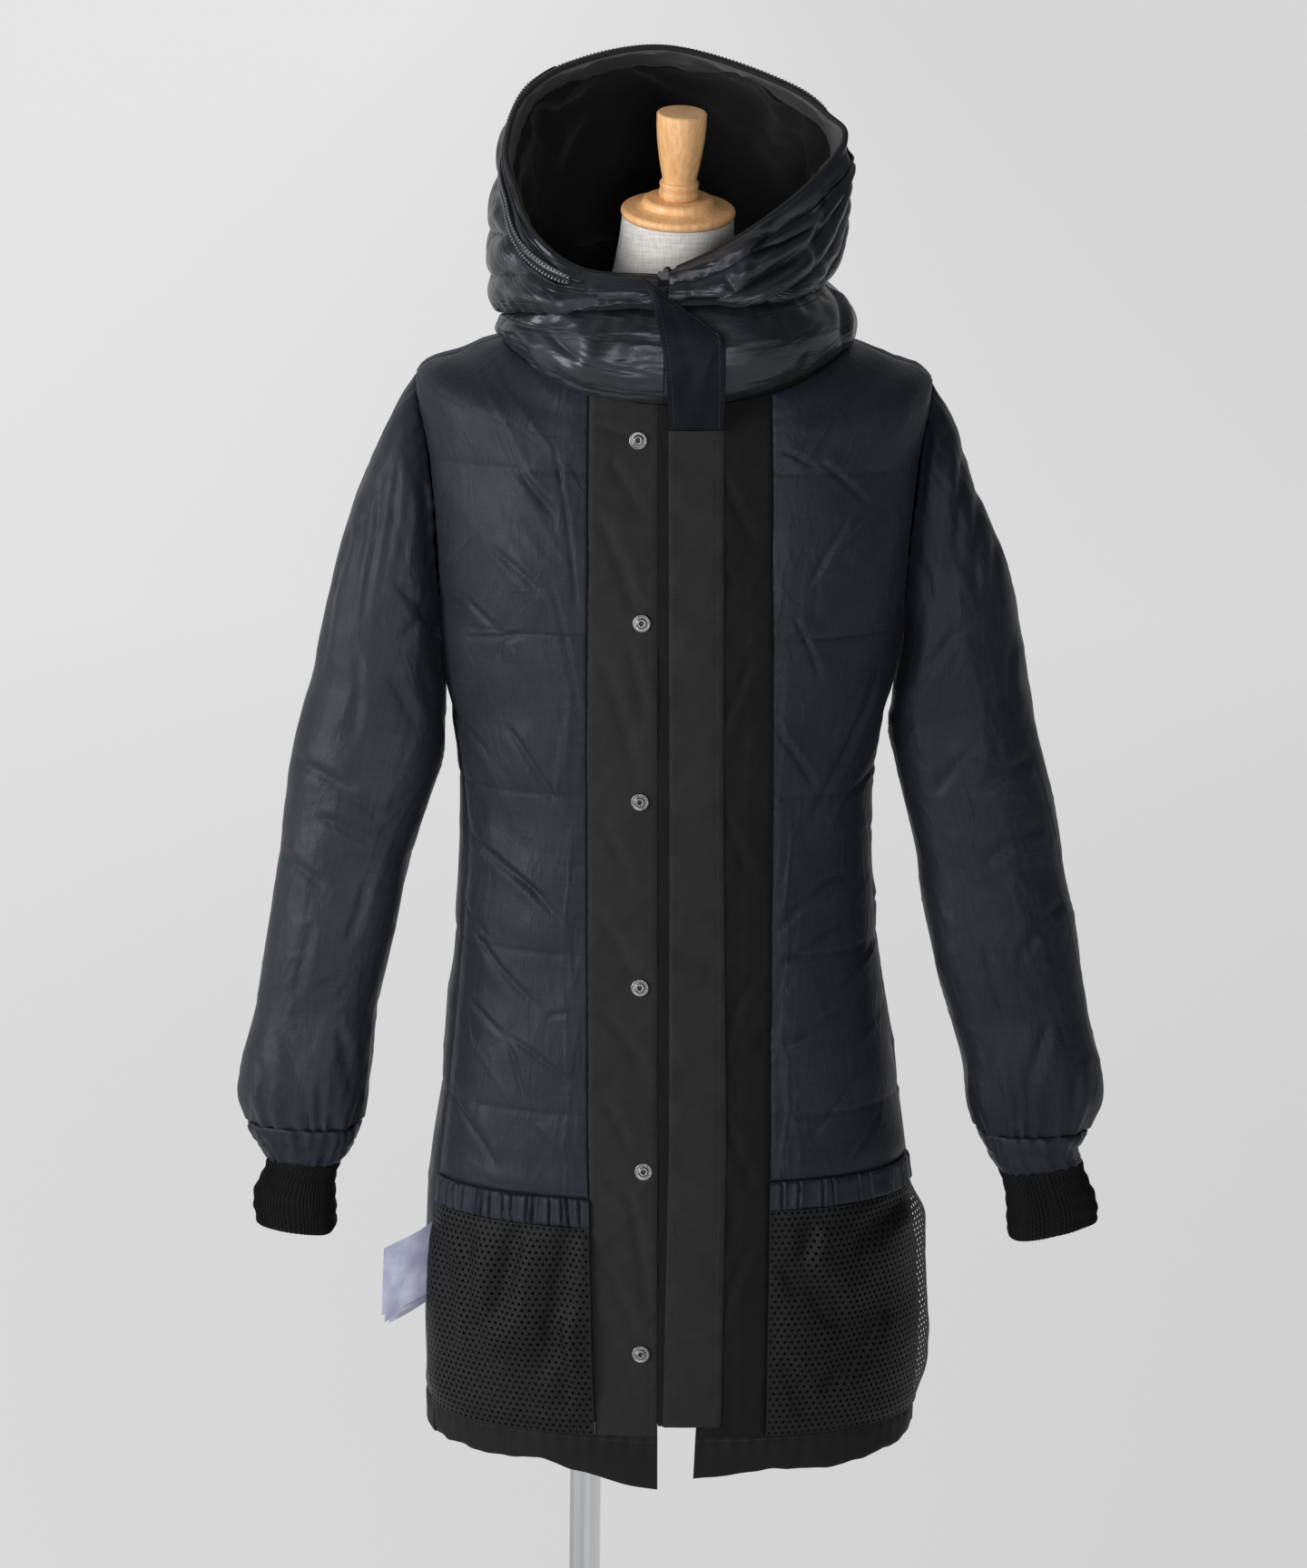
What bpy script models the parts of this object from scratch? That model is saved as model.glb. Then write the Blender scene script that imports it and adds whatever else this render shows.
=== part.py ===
"""A down parka worn inside out on a limbless dress form: cloth walls, zip, snaps, form and stand.

Metres, +Z up. The origin is on the floor, on the axis of the stand's pole. The wearer faces -Y, so the
names ending in _right are on the -X side. The coat's own middle lies COAT_X to the side of the pole.
"""

import math

import bmesh
import bpy
import numpy as np
from mathutils import Matrix, Vector

# Places and clearances
COAT_X = 0.0686          # coat's middle plane, from the pole's axis
GAP = 0.0003             # between pieces that touch
TRIM = 0.00018           # each sewn edge is set back by this

# Cloth walls
PADDED = 0.0040          # lining and shell quilted over down
FACING = 0.0030          # folded twill facings and hem
FLAP = 0.0022
NET = 0.0012
LINER = 0.0015           # matte cloth inside the hood
RIB_WALL = 0.0024
RIB_HEIGHT = 0.0010
GATHER = 0.0014
LABEL_WALL = 0.0008

# Heights on the coat
HEM_TOP = 0.450
HEM_CORNER_DROP = {"right": 0.022, "left": 0.014}
POCKET_TOP = {"right": 0.654, "left": 0.670}
POCKET_BAND = 0.024
FLAP_BOTTOM = 0.459
FLAP_SEAM = 1.299        # the black flap meets its navy top piece
QUILT_LINE = 0.860
QUILT_STEP = 0.135
QUILT_RISE = 0.0035

# Cross-section: 1 is an ellipse, less is squarer
ROUNDNESS = 0.83
FORM_ROUNDNESS = 0.92

# Rings of the coat, hem to neckline. Heights at the side, front and back, half widths, depths.
#    side   front  back   half right  half left  front depth  back depth
COAT_RINGS = np.array([
    (0.426, 0.424, 0.422, 0.2060, 0.2140, 0.134, 0.140),
    (0.520, 0.520, 0.520, 0.2085, 0.2165, 0.135, 0.138),
    (0.640, 0.640, 0.640, 0.2045, 0.2060, 0.132, 0.131),
    (0.740, 0.740, 0.740, 0.1945, 0.1930, 0.127, 0.122),
    (0.850, 0.850, 0.850, 0.1850, 0.1750, 0.122, 0.111),
    (0.950, 0.950, 0.950, 0.1790, 0.1670, 0.121, 0.107),
    (1.050, 1.050, 1.050, 0.1865, 0.1740, 0.130, 0.111),
    (1.130, 1.125, 1.130, 0.1975, 0.1900, 0.135, 0.116),
    (1.200, 1.185, 1.195, 0.2070, 0.2000, 0.133, 0.118),
    (1.270, 1.240, 1.262, 0.2140, 0.2070, 0.127, 0.116),
    (1.331, 1.285, 1.318, 0.2185, 0.2096, 0.121, 0.108),
    (1.349, 1.303, 1.346, 0.1830, 0.1760, 0.118, 0.100),
    (1.364, 1.320, 1.372, 0.1450, 0.1410, 0.116, 0.092),
])
SIDE, FRONT, BACK, HALF_RIGHT, HALF_LEFT, DEPTH_FRONT, DEPTH_BACK = range(7)
UNDERARM, SHOULDER, NECKLINE = 7.0, 10.0, 12.0
ARMHOLE_FRONT, ARMHOLE_BACK = 17.0, 20.0     # degrees that the armhole reaches past the side
ARMHOLE_STEPS = 9
SEAM_FORWARD = {"right": 18.0, "left": 3.0}  # degrees that the side seam lies in front of the side

# Long edges of the front pieces, as distances from the coat's middle plane
#    height  seam r   edge r   flap r   edge l   flap l   seam l
FRONT_EDGES = np.array([
    (0.400, -0.0590, -0.0055, -0.0030, 0.0225, 0.0415, 0.0835),
    (0.470, -0.0600, -0.0070, -0.0025, 0.0262, 0.0465, 0.0843),
    (0.700, -0.0680, -0.0098, -0.0005, 0.0262, 0.0475, 0.0840),
    (1.000, -0.0722, -0.0137, -0.0039, 0.0240, 0.0405, 0.0811),
    (1.300, -0.0735, -0.0170, -0.0088, 0.0180, 0.0368, 0.0760),
    (1.370, -0.0740, -0.0175, -0.0100, 0.0160, 0.0368, 0.0745),
])
SEAM_R, EDGE_R, FLAP_R, EDGE_L, FLAP_L, SEAM_L = range(1, 7)

# Sleeves, from below the armhole to the end of the cuff: outer and inner point of each section,
# how far forward its middle lies, and its half depth
#    out x    out z   in x     in z    forward  half depth
SLEEVE_SECTIONS = {
    "right": np.array([
        (0.2400, 1.2950, 0.2030, 1.1180, 0.000, 0.0600),
        (0.2600, 1.2470, 0.2015, 1.1000, 0.002, 0.0620),
        (0.2790, 1.1950, 0.1990, 1.0800, 0.004, 0.0620),
        (0.2930, 1.1350, 0.1950, 1.0600, 0.005, 0.0610),
        (0.3040, 1.0800, 0.1925, 1.0380, 0.006, 0.0600),
        (0.3190, 1.0200, 0.1985, 1.0000, 0.008, 0.0580),
        (0.3290, 0.9580, 0.2140, 0.9500, 0.010, 0.0560),
        (0.3390, 0.8800, 0.2330, 0.8780, 0.014, 0.0540),
        (0.3520, 0.7930, 0.2520, 0.7930, 0.018, 0.0520),
        (0.3625, 0.7380, 0.2595, 0.7380, 0.020, 0.0520),
        (0.3645, 0.7150, 0.2612, 0.7150, 0.020, 0.0500),
        (0.3590, 0.6930, 0.2640, 0.6930, 0.020, 0.0460),
        (0.3540, 0.6810, 0.2665, 0.6830, 0.020, 0.0420),
        (0.3460, 0.6690, 0.2730, 0.6690, 0.020, 0.0360),
        (0.3420, 0.6590, 0.2810, 0.6580, 0.020, 0.0315),
        (0.3460, 0.6450, 0.2860, 0.6440, 0.020, 0.0310),
        (0.3540, 0.6260, 0.2865, 0.6250, 0.020, 0.0320),
        (0.3500, 0.6010, 0.2860, 0.5970, 0.020, 0.0320),
    ]),
    "left": np.array([
        (0.2290, 1.2920, 0.1955, 1.1180, 0.000, 0.0600),
        (0.2440, 1.2480, 0.1945, 1.1000, 0.002, 0.0620),
        (0.2650, 1.2000, 0.1915, 1.0800, 0.004, 0.0620),
        (0.2800, 1.1500, 0.1860, 1.0600, 0.005, 0.0620),
        (0.2960, 1.0800, 0.1805, 1.0380, 0.006, 0.0620),
        (0.3085, 1.0240, 0.1875, 1.0060, 0.008, 0.0600),
        (0.3237, 0.9580, 0.2010, 0.9560, 0.010, 0.0600),
        (0.3380, 0.8820, 0.2155, 0.8800, 0.014, 0.0590),
        (0.3537, 0.8020, 0.2355, 0.8020, 0.018, 0.0570),
        (0.3630, 0.7480, 0.2490, 0.7560, 0.020, 0.0550),
        (0.3640, 0.7200, 0.2550, 0.7180, 0.020, 0.0520),
        (0.3560, 0.6950, 0.2630, 0.6950, 0.020, 0.0480),
        (0.3500, 0.6830, 0.2690, 0.6820, 0.020, 0.0440),
        (0.3480, 0.6740, 0.2760, 0.6680, 0.020, 0.0390),
        (0.3520, 0.6650, 0.2830, 0.6570, 0.020, 0.0350),
        (0.3580, 0.6490, 0.2880, 0.6410, 0.020, 0.0345),
        (0.3660, 0.6310, 0.2910, 0.6210, 0.020, 0.0350),
        (0.3670, 0.6140, 0.2925, 0.5980, 0.020, 0.0350),
    ]),
}
BAND_START, BAND_END = 12.0, 15.0            # sections of the gathered band
CUFF_RIBS = 24
BAND_GATHERS = 18

# The crease between collar and hood, and the hood's rim, round from the zip by the wearer's left side.
# low and high are how far the collar's and the hood's curves swing out at their lower and upper ends.
#    angle  crease x, y, z            collar low high  rim x, y, z               hood low  up     high   up
HOOD_STATIONS = np.array([
    (0.0,   -0.011, -0.1200, 1.4010,  0.028, 0.020,  -0.008, -0.105, 1.4300,    0.010, 0.008, 0.010, -0.006),
    (25.0,   0.050, -0.1130, 1.4050,  0.028, 0.022,   0.030, -0.103, 1.4470,    0.016, 0.008, 0.010, -0.014),
    (50.0,   0.088, -0.0880, 1.4100,  0.020, 0.022,   0.070, -0.088, 1.4700,    0.022, 0.008, 0.010, -0.024),
    (72.0,   0.106, -0.0450, 1.4130,  0.014, 0.022,   0.107, -0.062, 1.4970,    0.021, 0.010, 0.001, -0.030),
    (90.0,   0.110,  0.0000, 1.4150,  0.012, 0.020,   0.1355, -0.030, 1.5280,   0.022, 0.010, -0.007, -0.030),
    (110.0,  0.106,  0.0350, 1.4170,  0.014, 0.018,   0.127, -0.008, 1.5460,    0.029, 0.012, 0.007, -0.022),
    (140.0,  0.078,  0.0780, 1.4240,  0.018, 0.018,   0.084,  0.014, 1.5750,    0.062, 0.016, 0.076, -0.014),
    (180.0,  0.000,  0.1000, 1.4300,  0.020, 0.018,  -0.012,  0.030, 1.6030,    0.090, 0.020, 0.140, -0.010),
    (220.0, -0.085,  0.0800, 1.4180,  0.018, 0.016,  -0.090,  0.020, 1.5900,    0.064, 0.018, 0.082, -0.014),
    (250.0, -0.128,  0.0400, 1.4000,  0.012, 0.012,  -0.133,  0.000, 1.5630,    0.028, 0.014, 0.014, -0.024),
    (270.0, -0.144,  0.0000, 1.3840,  0.006, 0.006,  -0.1475, -0.025, 1.5220,   0.013, 0.010, -0.002, -0.035),
    (288.0, -0.138, -0.0450, 1.3860,  0.012, 0.010,  -0.141, -0.052, 1.4940,    0.015, 0.010, 0.000, -0.030),
    (310.0, -0.112, -0.0880, 1.3930,  0.020, 0.016,  -0.122, -0.080, 1.4560,    0.018, 0.008, 0.006, -0.020),
    (335.0, -0.064, -0.1130, 1.3980,  0.028, 0.022,  -0.080, -0.100, 1.4290,    0.014, 0.008, 0.010, -0.010),
    (360.0, -0.013, -0.1200, 1.3990,  0.028, 0.020,  -0.010, -0.106, 1.4250,    0.010, 0.008, 0.010, -0.006),
])
CREASE, COLLAR_LOW, COLLAR_HIGH, RIM = slice(1, 4), 4, 5, slice(6, 9)
HOOD_LOW, HOOD_LOW_UP, HOOD_HIGH, HOOD_HIGH_UP = range(9, 13)
COLLAR_HANDLE = 0.012        # how far the collar's curve rises before it swings out
COLLAR_LIFT = 0.0007         # the collar's foot stands this far above the neckline
ZIP_SHIFT = -0.013           # the zip lies this far to the right of the middle at the neckline
HOOD_FOLD = 0.0035           # height of the folds that lie stacked round the hood
HOOD_FOLDS = 2.4
HOOD_FACING = 0.045
HOOD_COLUMNS = 28
RUFF_ZIP = (0.024, 0.014)    # the ruff zip's tape, between these distances from the rim
RUFF_ZIP_SPAN = (35.0, 330.0)

# Navy top piece of the flap, bottom to top: the heights and places of its two edges
#    height r  height l  x r      x l
FLAP_TOP = np.array([
    (1.2999, 1.3012, -0.0080, 0.0368),
    (1.3200, 1.3160, -0.0095, 0.0370),
    (1.3420, 1.3340, -0.0110, 0.0372),
    (1.3650, 1.3520, -0.0140, 0.0372),
    (1.3880, 1.3650, -0.0185, 0.0372),
    (1.4080, 1.3730, -0.0240, 0.0370),
    (1.4250, 1.3790, -0.0320, 0.0350),
])
# How far forward it stands at each height, over the chest, the collar and the foot of the hood
#    height  forward
FLAP_TOP_STAND = np.array([
    (1.2996, 0.1216),
    (1.3200, 0.1320),
    (1.3400, 0.1420),
    (1.3600, 0.1440),
    (1.3800, 0.1415),
    (1.4000, 0.1330),
    (1.4250, 0.1240),
])

# The form: rings from its foot to the root of the neck, columns as in COAT_RINGS
FORM_RINGS = np.array([
    (0.800, 0.800, 0.800, 0.1400, 0.1400, 0.090, 0.100),
    (0.880, 0.880, 0.880, 0.1500, 0.1480, 0.096, 0.100),
    (0.985, 0.985, 0.985, 0.1180, 0.1160, 0.080, 0.082),
    (1.060, 1.060, 1.060, 0.1320, 0.1300, 0.092, 0.086),
    (1.150, 1.140, 1.150, 0.1520, 0.1500, 0.112, 0.092),
    (1.230, 1.215, 1.230, 0.1780, 0.1720, 0.104, 0.094),
    (1.290, 1.262, 1.285, 0.1950, 0.1870, 0.096, 0.088),
    (1.3250, 1.284, 1.312, 0.1960, 0.1880, 0.092, 0.082),
    (1.3441, 1.298, 1.337, 0.1830, 0.1760, 0.088, 0.078),
    (1.3591, 1.312, 1.362, 0.1450, 0.1410, 0.084, 0.072),
    (1.3830, 1.345, 1.388, 0.0900, 0.0900, 0.074, 0.060),
    (1.4050, 1.388, 1.410, 0.0620, 0.0620, 0.070, 0.044),
])
FORM_SIDES = 24
NECK_AXIS_TILT = 13.5        # degrees forward
NECK_AXIS_LEAN = 1.3         # degrees towards the wearer's left
CAP_CENTRE = Vector((-0.0025, -0.0200, 1.4730))     # middle of the cap's upper face
CAP_THICKNESS = 0.0072
NECK_RADIUS = 0.0462
CAP_PROFILE = (              # radius and height from the cap's upper face
    (0.0000, 0.0082), (0.0270, 0.0082), (0.0296, 0.0066), (0.0300, 0.0044), (0.0312, 0.0020),
    (0.0350, 0.0006), (0.0455, -0.0004), (0.0472, -0.0018), (0.0476, -0.0038), (0.0470, -0.0060),
    (0.0455, -0.0072), (0.0000, -0.0072),
)
KNOB_PROFILE = (             # radius and height from the cap's upper face
    (0.0000, 0.0812), (0.0192, 0.0812), (0.0206, 0.0798), (0.0203, 0.0700), (0.0181, 0.0460),
    (0.0154, 0.0280), (0.0145, 0.0215), (0.0158, 0.0198), (0.0164, 0.0170), (0.0152, 0.0145),
    (0.0166, 0.0118), (0.0160, 0.0085), (0.0000, 0.0085),
)

# The stand
POLE_RADIUS = 0.0135
BASE_PROFILE = (
    (0.0000, 0.0340), (0.0230, 0.0340), (0.0250, 0.0320), (0.0260, 0.0140), (0.0300, 0.0110),
    (0.1800, 0.0090), (0.1900, 0.0060), (0.1900, 0.0000), (0.0000, 0.0000),
)

# Snaps: heights, and a ring with a raised socket
SNAP_HEIGHTS = (1.2905, 1.1430, 0.9925, 0.8350, 0.6795, 0.5225)
SNAP_SEAT = 0.0008       # how far the snaps stand off the coat's face
SNAP_X = (-0.0330, -0.0283, -0.0280, -0.0261, -0.0212, -0.0216)
SNAP_PROFILE = (
    (0.0000, 0.0006), (0.0017, 0.0006), (0.0019, 0.0022), (0.0036, 0.0020), (0.0042, 0.0008),
    (0.0062, 0.0010), (0.0074, 0.0006), (0.0076, 0.0000), (0.0000, 0.0000),
)

SLIDER_ANGLE = 357.0         # where the slider sits on the rim
SLIDER_SIZE = (0.0130, 0.0055, 0.0065)
SLIDER_KNOB = 0.0031

LABEL_TOP = 0.611
LABEL_SIZE = (0.043, 0.060)
LABEL_DROOP = 0.022
LABEL_BEHIND_SEAM = 0.6      # degrees behind the side seam's edge


# ---------------------------------------------------------------- scene and materials

def clear_scene():
    for old in list(bpy.data.objects):
        bpy.data.objects.remove(old, do_unlink=True)


def make_material(name, colour, roughness, metallic=0.0):
    material = bpy.data.materials.new(name)
    material.use_nodes = True
    shader = material.node_tree.nodes["Principled BSDF"]
    shader.inputs["Base Color"].default_value = (*colour, 1.0)
    shader.inputs["Roughness"].default_value = roughness
    shader.inputs["Metallic"].default_value = metallic
    return material


FINISHES = {
    "navy_lining": ((0.022, 0.024, 0.032), 0.55),
    "black_twill": ((0.018, 0.018, 0.017), 0.70),
    "shiny_nylon": ((0.020, 0.022, 0.030), 0.30),
    "hood_cloth": ((0.012, 0.012, 0.013), 0.85),
    "rib_knit": ((0.008, 0.008, 0.009), 0.95),
    "pocket_net": ((0.010, 0.011, 0.013), 0.80),
    "zip_plastic": ((0.012, 0.012, 0.012), 0.35),
    "label_cloth": ((0.55, 0.55, 0.70), 0.60),
    "snap_metal": ((0.25, 0.25, 0.26), 0.35, 1.0),
    "linen": ((0.62, 0.59, 0.55), 0.95),
    "turned_wood": ((0.72, 0.47, 0.26), 0.45),
    "chrome": ((0.75, 0.76, 0.78), 0.10, 1.0),
}


def add_object(name, mesh, finish, smooth=40.0, parent=True):
    """Puts a mesh into the parka's collection, in its finish, on the coat's middle plane."""
    if finish not in bpy.data.materials:
        make_material(finish, *FINISHES[finish])
    mesh.materials.append(bpy.data.materials[finish])
    mesh.shade_smooth()
    mesh.set_sharp_from_angle(angle=math.radians(smooth))
    made = bpy.data.objects.new(name, mesh)
    parka_collection.objects.link(made)
    if parent:
        made.parent = coat_frame
    return made


# ---------------------------------------------------------------- curves and surfaces

def spline(rows, place):
    """Smooth curve through the rows, at a row number that may lie between two rows."""
    last = len(rows) - 1
    i = max(0, min(int(math.floor(place)), last - 1))
    t = place - i
    b, c = rows[i], rows[i + 1]
    a = rows[i - 1] if i > 0 else 2 * b - c
    d = rows[i + 2] if i + 2 <= last else 2 * c - b
    cubic = 3 * b - a - 3 * c + d
    square = 2 * a - 5 * b + 4 * c - d
    return 0.5 * (2 * b + (c - a) * t + square * t * t + cubic * t ** 3)


def bezier(a, b, c, d, t):
    s = 1 - t
    return a * s ** 3 + 3 * b * s * s * t + 3 * c * s * t * t + d * t ** 3


def signed_power(value, power):
    return math.copysign(abs(value) ** power, value)


def ring_point(rings, angle, level, roundness):
    """Point on a ring. The angle is in degrees from the front, positive to the wearer's left."""
    row = spline(rings, level)
    s, c = math.sin(math.radians(angle)), math.cos(math.radians(angle))
    half = row[HALF_LEFT] if s > 0 else row[HALF_RIGHT]
    depth, height = (row[DEPTH_FRONT], row[FRONT]) if c > 0 else (row[DEPTH_BACK], row[BACK])
    return np.array((half * signed_power(s, roundness), -depth * signed_power(c, roundness),
                     row[SIDE] * s * s + height * c * c))


def coat_point(angle, level):
    return ring_point(COAT_RINGS, angle, level, ROUNDNESS)


def normal_of(surface, a, b, step_a, step_b):
    along_a = surface(a + step_a, b) - surface(a - step_a, b)
    along_b = surface(a, b + step_b) - surface(a, b - step_b)
    normal = np.cross(along_a, along_b)
    return normal / np.linalg.norm(normal)


def coat(angle, level, lift=0.0):
    """The coat's outer face, moved out by lift."""
    return coat_point(angle, level) + lift * normal_of(coat_point, angle, level, 0.6, 0.02)


def level_at(height):
    """The ring number at a height on the coat's front."""
    low, high = 0.0, NECKLINE
    for _ in range(40):
        middle = (low + high) / 2
        if spline(COAT_RINGS, middle)[FRONT] < height:
            low = middle
        else:
            high = middle
    return low


def angle_at(x, level):
    """The angle at which the ring lies x from the middle plane."""
    row = spline(COAT_RINGS, level)
    half = row[HALF_LEFT] if x > 0 else row[HALF_RIGHT]
    return math.copysign(math.degrees(math.asin((abs(x) / half) ** (1 / ROUNDNESS))), x)


def edge_angle(column, level):
    """The angle of one of the front's long edges."""
    height = spline(COAT_RINGS, level)[FRONT]
    return angle_at(float(np.interp(height, FRONT_EDGES[:, 0], FRONT_EDGES[:, column])), level)


def station(angle):
    """The hood's row at an angle from the zip."""
    place = float(np.interp(angle, HOOD_STATIONS[:, 0], np.arange(len(HOOD_STATIONS))))
    return spline(HOOD_STATIONS, place)


def outward(angle):
    return np.array((math.sin(math.radians(angle)), -math.cos(math.radians(angle)), 0.0))


UP = np.array((0.0, 0.0, 1.0))


def collar_point(angle, rise):
    """The collar's outer face, from the neckline (rise 0) to the crease under the hood (rise 1)."""
    row, out = station(angle), outward(angle)
    foot = coat_point(angle, NECKLINE) + UP * COLLAR_LIFT
    foot[0] += ZIP_SHIFT * max(0.0, math.cos(math.radians(angle))) ** 3
    top = row[CREASE]
    handle = UP * min(COLLAR_HANDLE, (top[2] - foot[2]) * 0.3)
    return bezier(foot, foot + out * row[COLLAR_LOW] + handle,
                  top + out * row[COLLAR_HIGH] - handle, top, rise)


def hood_point(angle, rise):
    """The hood's outer face, from the crease (rise 0) to the rim (rise 1)."""
    row, out = station(angle), outward(angle)
    foot, rim = row[CREASE] + UP * GAP * 2, row[RIM]
    return bezier(foot, foot + out * row[HOOD_LOW] + UP * row[HOOD_LOW_UP],
                  rim + out * row[HOOD_HIGH] + UP * row[HOOD_HIGH_UP], rim, rise)


def inside_range(value):
    return min(max(value, 0.004), 0.996)


def collar(angle, rise, lift=0.0):
    normal = normal_of(collar_point, min(max(angle, 1.0), 359.0), inside_range(rise), 1.0, 0.004)
    return collar_point(angle, rise) + lift * normal


def hood(angle, rise, lift=0.0):
    normal = normal_of(hood_point, min(max(angle, 1.0), 359.0), inside_range(rise), 1.0, 0.004)
    return hood_point(angle, rise) + lift * normal


def rise_below_rim(angle, distance, least=0.15):
    """How far up the hood's curve lies a point at a distance from the rim."""
    steps = 40
    travelled, before = 0.0, hood_point(angle, 1.0)
    for i in range(1, steps + 1):
        rise = 1 - i / steps
        here = hood_point(angle, rise)
        travelled += np.linalg.norm(here - before)
        if travelled >= distance:
            return max(rise, least)
        before = here
    return least


SIGN = {"right": -1.0, "left": 1.0}


def armhole_place(side, turn):
    """Angle and level on the coat, for a turn in degrees from the shoulder by the front."""
    across = math.sin(math.radians(turn))
    reach = ARMHOLE_FRONT if across > 0 else ARMHOLE_BACK
    level = UNDERARM + (SHOULDER - UNDERARM) * (1 + math.cos(math.radians(turn))) / 2
    return SIGN[side] * (90 - reach * across), level


def sleeve_point(side, turn, section):
    """The sleeve's outer face. Section 0 is the armhole, the others are rows of the table."""
    c, s = math.cos(math.radians(turn)), math.sin(math.radians(turn))
    column = [coat_point(*armhole_place(side, turn))]
    for out_x, out_z, in_x, in_z, forward, half_depth in SLEEVE_SECTIONS[side]:
        x = (out_x + in_x) / 2 + (out_x - in_x) / 2 * c
        z = (out_z + in_z) / 2 + (out_z - in_z) / 2 * c
        column.append(np.array((SIGN[side] * x, -forward - half_depth * s, z)))
    return spline(column, section)


def sleeve_normal(side, turn, section):
    def surface(a, b):
        return sleeve_point(side, a, b)
    return normal_of(surface, turn, max(section, 0.03), 1.0, 0.03) * SIGN[side]


def sleeve(side, turn, section, lift=0.0):
    return sleeve_point(side, turn, section) + lift * sleeve_normal(side, turn, section)


def armhole_inner(side, turn):
    """Inner corner of the seam between body and sleeve, where the two meet in a ridge, or None."""
    place = armhole_place(side, turn)
    of_coat = normal_of(coat_point, *place, 0.6, 0.02)
    of_sleeve = sleeve_normal(side, turn, 0.03)
    into_sleeve = sleeve_point(side, turn, 0.2) - sleeve_point(side, turn, 0.0)
    if np.dot(into_sleeve, of_coat) >= 0:
        return None
    ridge = of_coat + of_sleeve
    ridge /= np.linalg.norm(ridge)
    return coat_point(*place) - ridge * PADDED / max(0.7, float(np.dot(ridge, of_coat)))


# ---------------------------------------------------------------- cloth walls

def set_back(edge, neighbour):
    for i, (point, inner) in enumerate(zip(edge, neighbour)):
        step = inner - point
        edge[i] = point + step / np.linalg.norm(step) * TRIM


def set_back_edges(rows, closed):
    """Shortens a grid of points by TRIM on each of its open edges."""
    first, last = list(rows[0]), list(rows[-1])
    set_back(first, rows[1])
    set_back(last, rows[-2])
    rows[0], rows[-1] = first, last
    if closed:
        return
    for row in rows:
        row[0], row[-1] = (row[0] + (row[1] - row[0]) / np.linalg.norm(row[1] - row[0]) * TRIM,
                           row[-1] + (row[-2] - row[-1]) / np.linalg.norm(row[-2] - row[-1]) * TRIM)


def cloth_wall(name, finish, outer, inner, closed=False):
    """A closed body between an outer and an inner grid of points. Closed grids run round."""
    for rows in (outer, inner):
        set_back_edges(rows, closed)
    bm = bmesh.new()
    layers = [[[bm.verts.new(point) for point in row] for row in rows] for rows in (outer, inner)]
    rows, columns = len(outer), len(outer[0])
    spans = columns if closed else columns - 1
    for layer in layers:
        for i in range(rows - 1):
            for j in range(spans):
                k = (j + 1) % columns
                bm.faces.new((layer[i][j], layer[i][k], layer[i + 1][k], layer[i + 1][j]))
    face, back = layers
    for i in (0, rows - 1):
        for j in range(spans):
            k = (j + 1) % columns
            bm.faces.new((face[i][j], face[i][k], back[i][k], back[i][j]))
    if not closed:
        for j in (0, columns - 1):
            for i in range(rows - 1):
                bm.faces.new((face[i][j], face[i + 1][j], back[i + 1][j], back[i][j]))
    bmesh.ops.recalc_face_normals(bm, faces=bm.faces)
    mesh = bpy.data.meshes.new(name)
    bm.to_mesh(mesh)
    bm.free()
    return add_object(name, mesh, finish)


def no_relief(across, along):
    return 0.0


def panel(name, finish, surface, lattice, wall, lift=0.0, relief=no_relief, swell=no_relief, closed=False,
          inner_edges=None):
    """A wall on a surface. The lattice holds a pair of surface coordinates for each point.

    relief raises the outer face alone, swell moves both faces, and inner_edges holds inner points that
    replace those worked out here, by row and column.
    """
    rows, columns = len(lattice), len(lattice[0])
    outer, inner = [], []
    for i, line in enumerate(lattice):
        outer.append([])
        inner.append([])
        for j, place in enumerate(line):
            across, along = j / (columns - (0 if closed else 1)), i / (rows - 1)
            base = lift + swell(across, along)
            outer[i].append(surface(*place, base + relief(across, along)))
            inner[i].append(surface(*place, base - wall))
    for (i, j), point in (inner_edges or {}).items():
        inner[i][j] = point
    return cloth_wall(name, finish, outer, inner, closed)


def blend(start, end, steps):
    return [start + (end - start) * i / steps for i in range(steps + 1)]


def gathers(count, height):
    """Relief with ridges across the piece, one for each gather."""
    def relief(across, along):
        return height * (0.5 - 0.5 * math.cos(2 * math.pi * count * across))
    return relief


# ---------------------------------------------------------------- body of the coat

LOW_LEVELS = [level_at(z) for z in (HEM_TOP, 0.52, 0.59, 0.654)]
BODY_LEVELS = [level_at(z) for z in (0.69, 0.725, 0.7925, 0.86, 0.9275, 0.995, 1.0625)]
ARM_LEVELS = [armhole_place("left", 180.0 - 180.0 * k / ARMHOLE_STEPS)[1] for k in range(ARMHOLE_STEPS + 1)]
TOP_LEVELS = [11.0, 12.0]


def side_angle(side, level, behind=False):
    """Where a front or back piece ends at the side: seam, armhole or shoulder seam."""
    if level <= UNDERARM:
        forward = SEAM_FORWARD[side] * min(1.0, (UNDERARM - level) / 2)
        return SIGN[side] * (90 - forward)
    if level >= SHOULDER:
        return SIGN[side] * 90
    share = (level - UNDERARM) / (SHOULDER - UNDERARM)
    reach = -ARMHOLE_BACK if behind else ARMHOLE_FRONT
    return SIGN[side] * (90 - reach * 2 * math.sqrt(share * (1 - share)))


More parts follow.
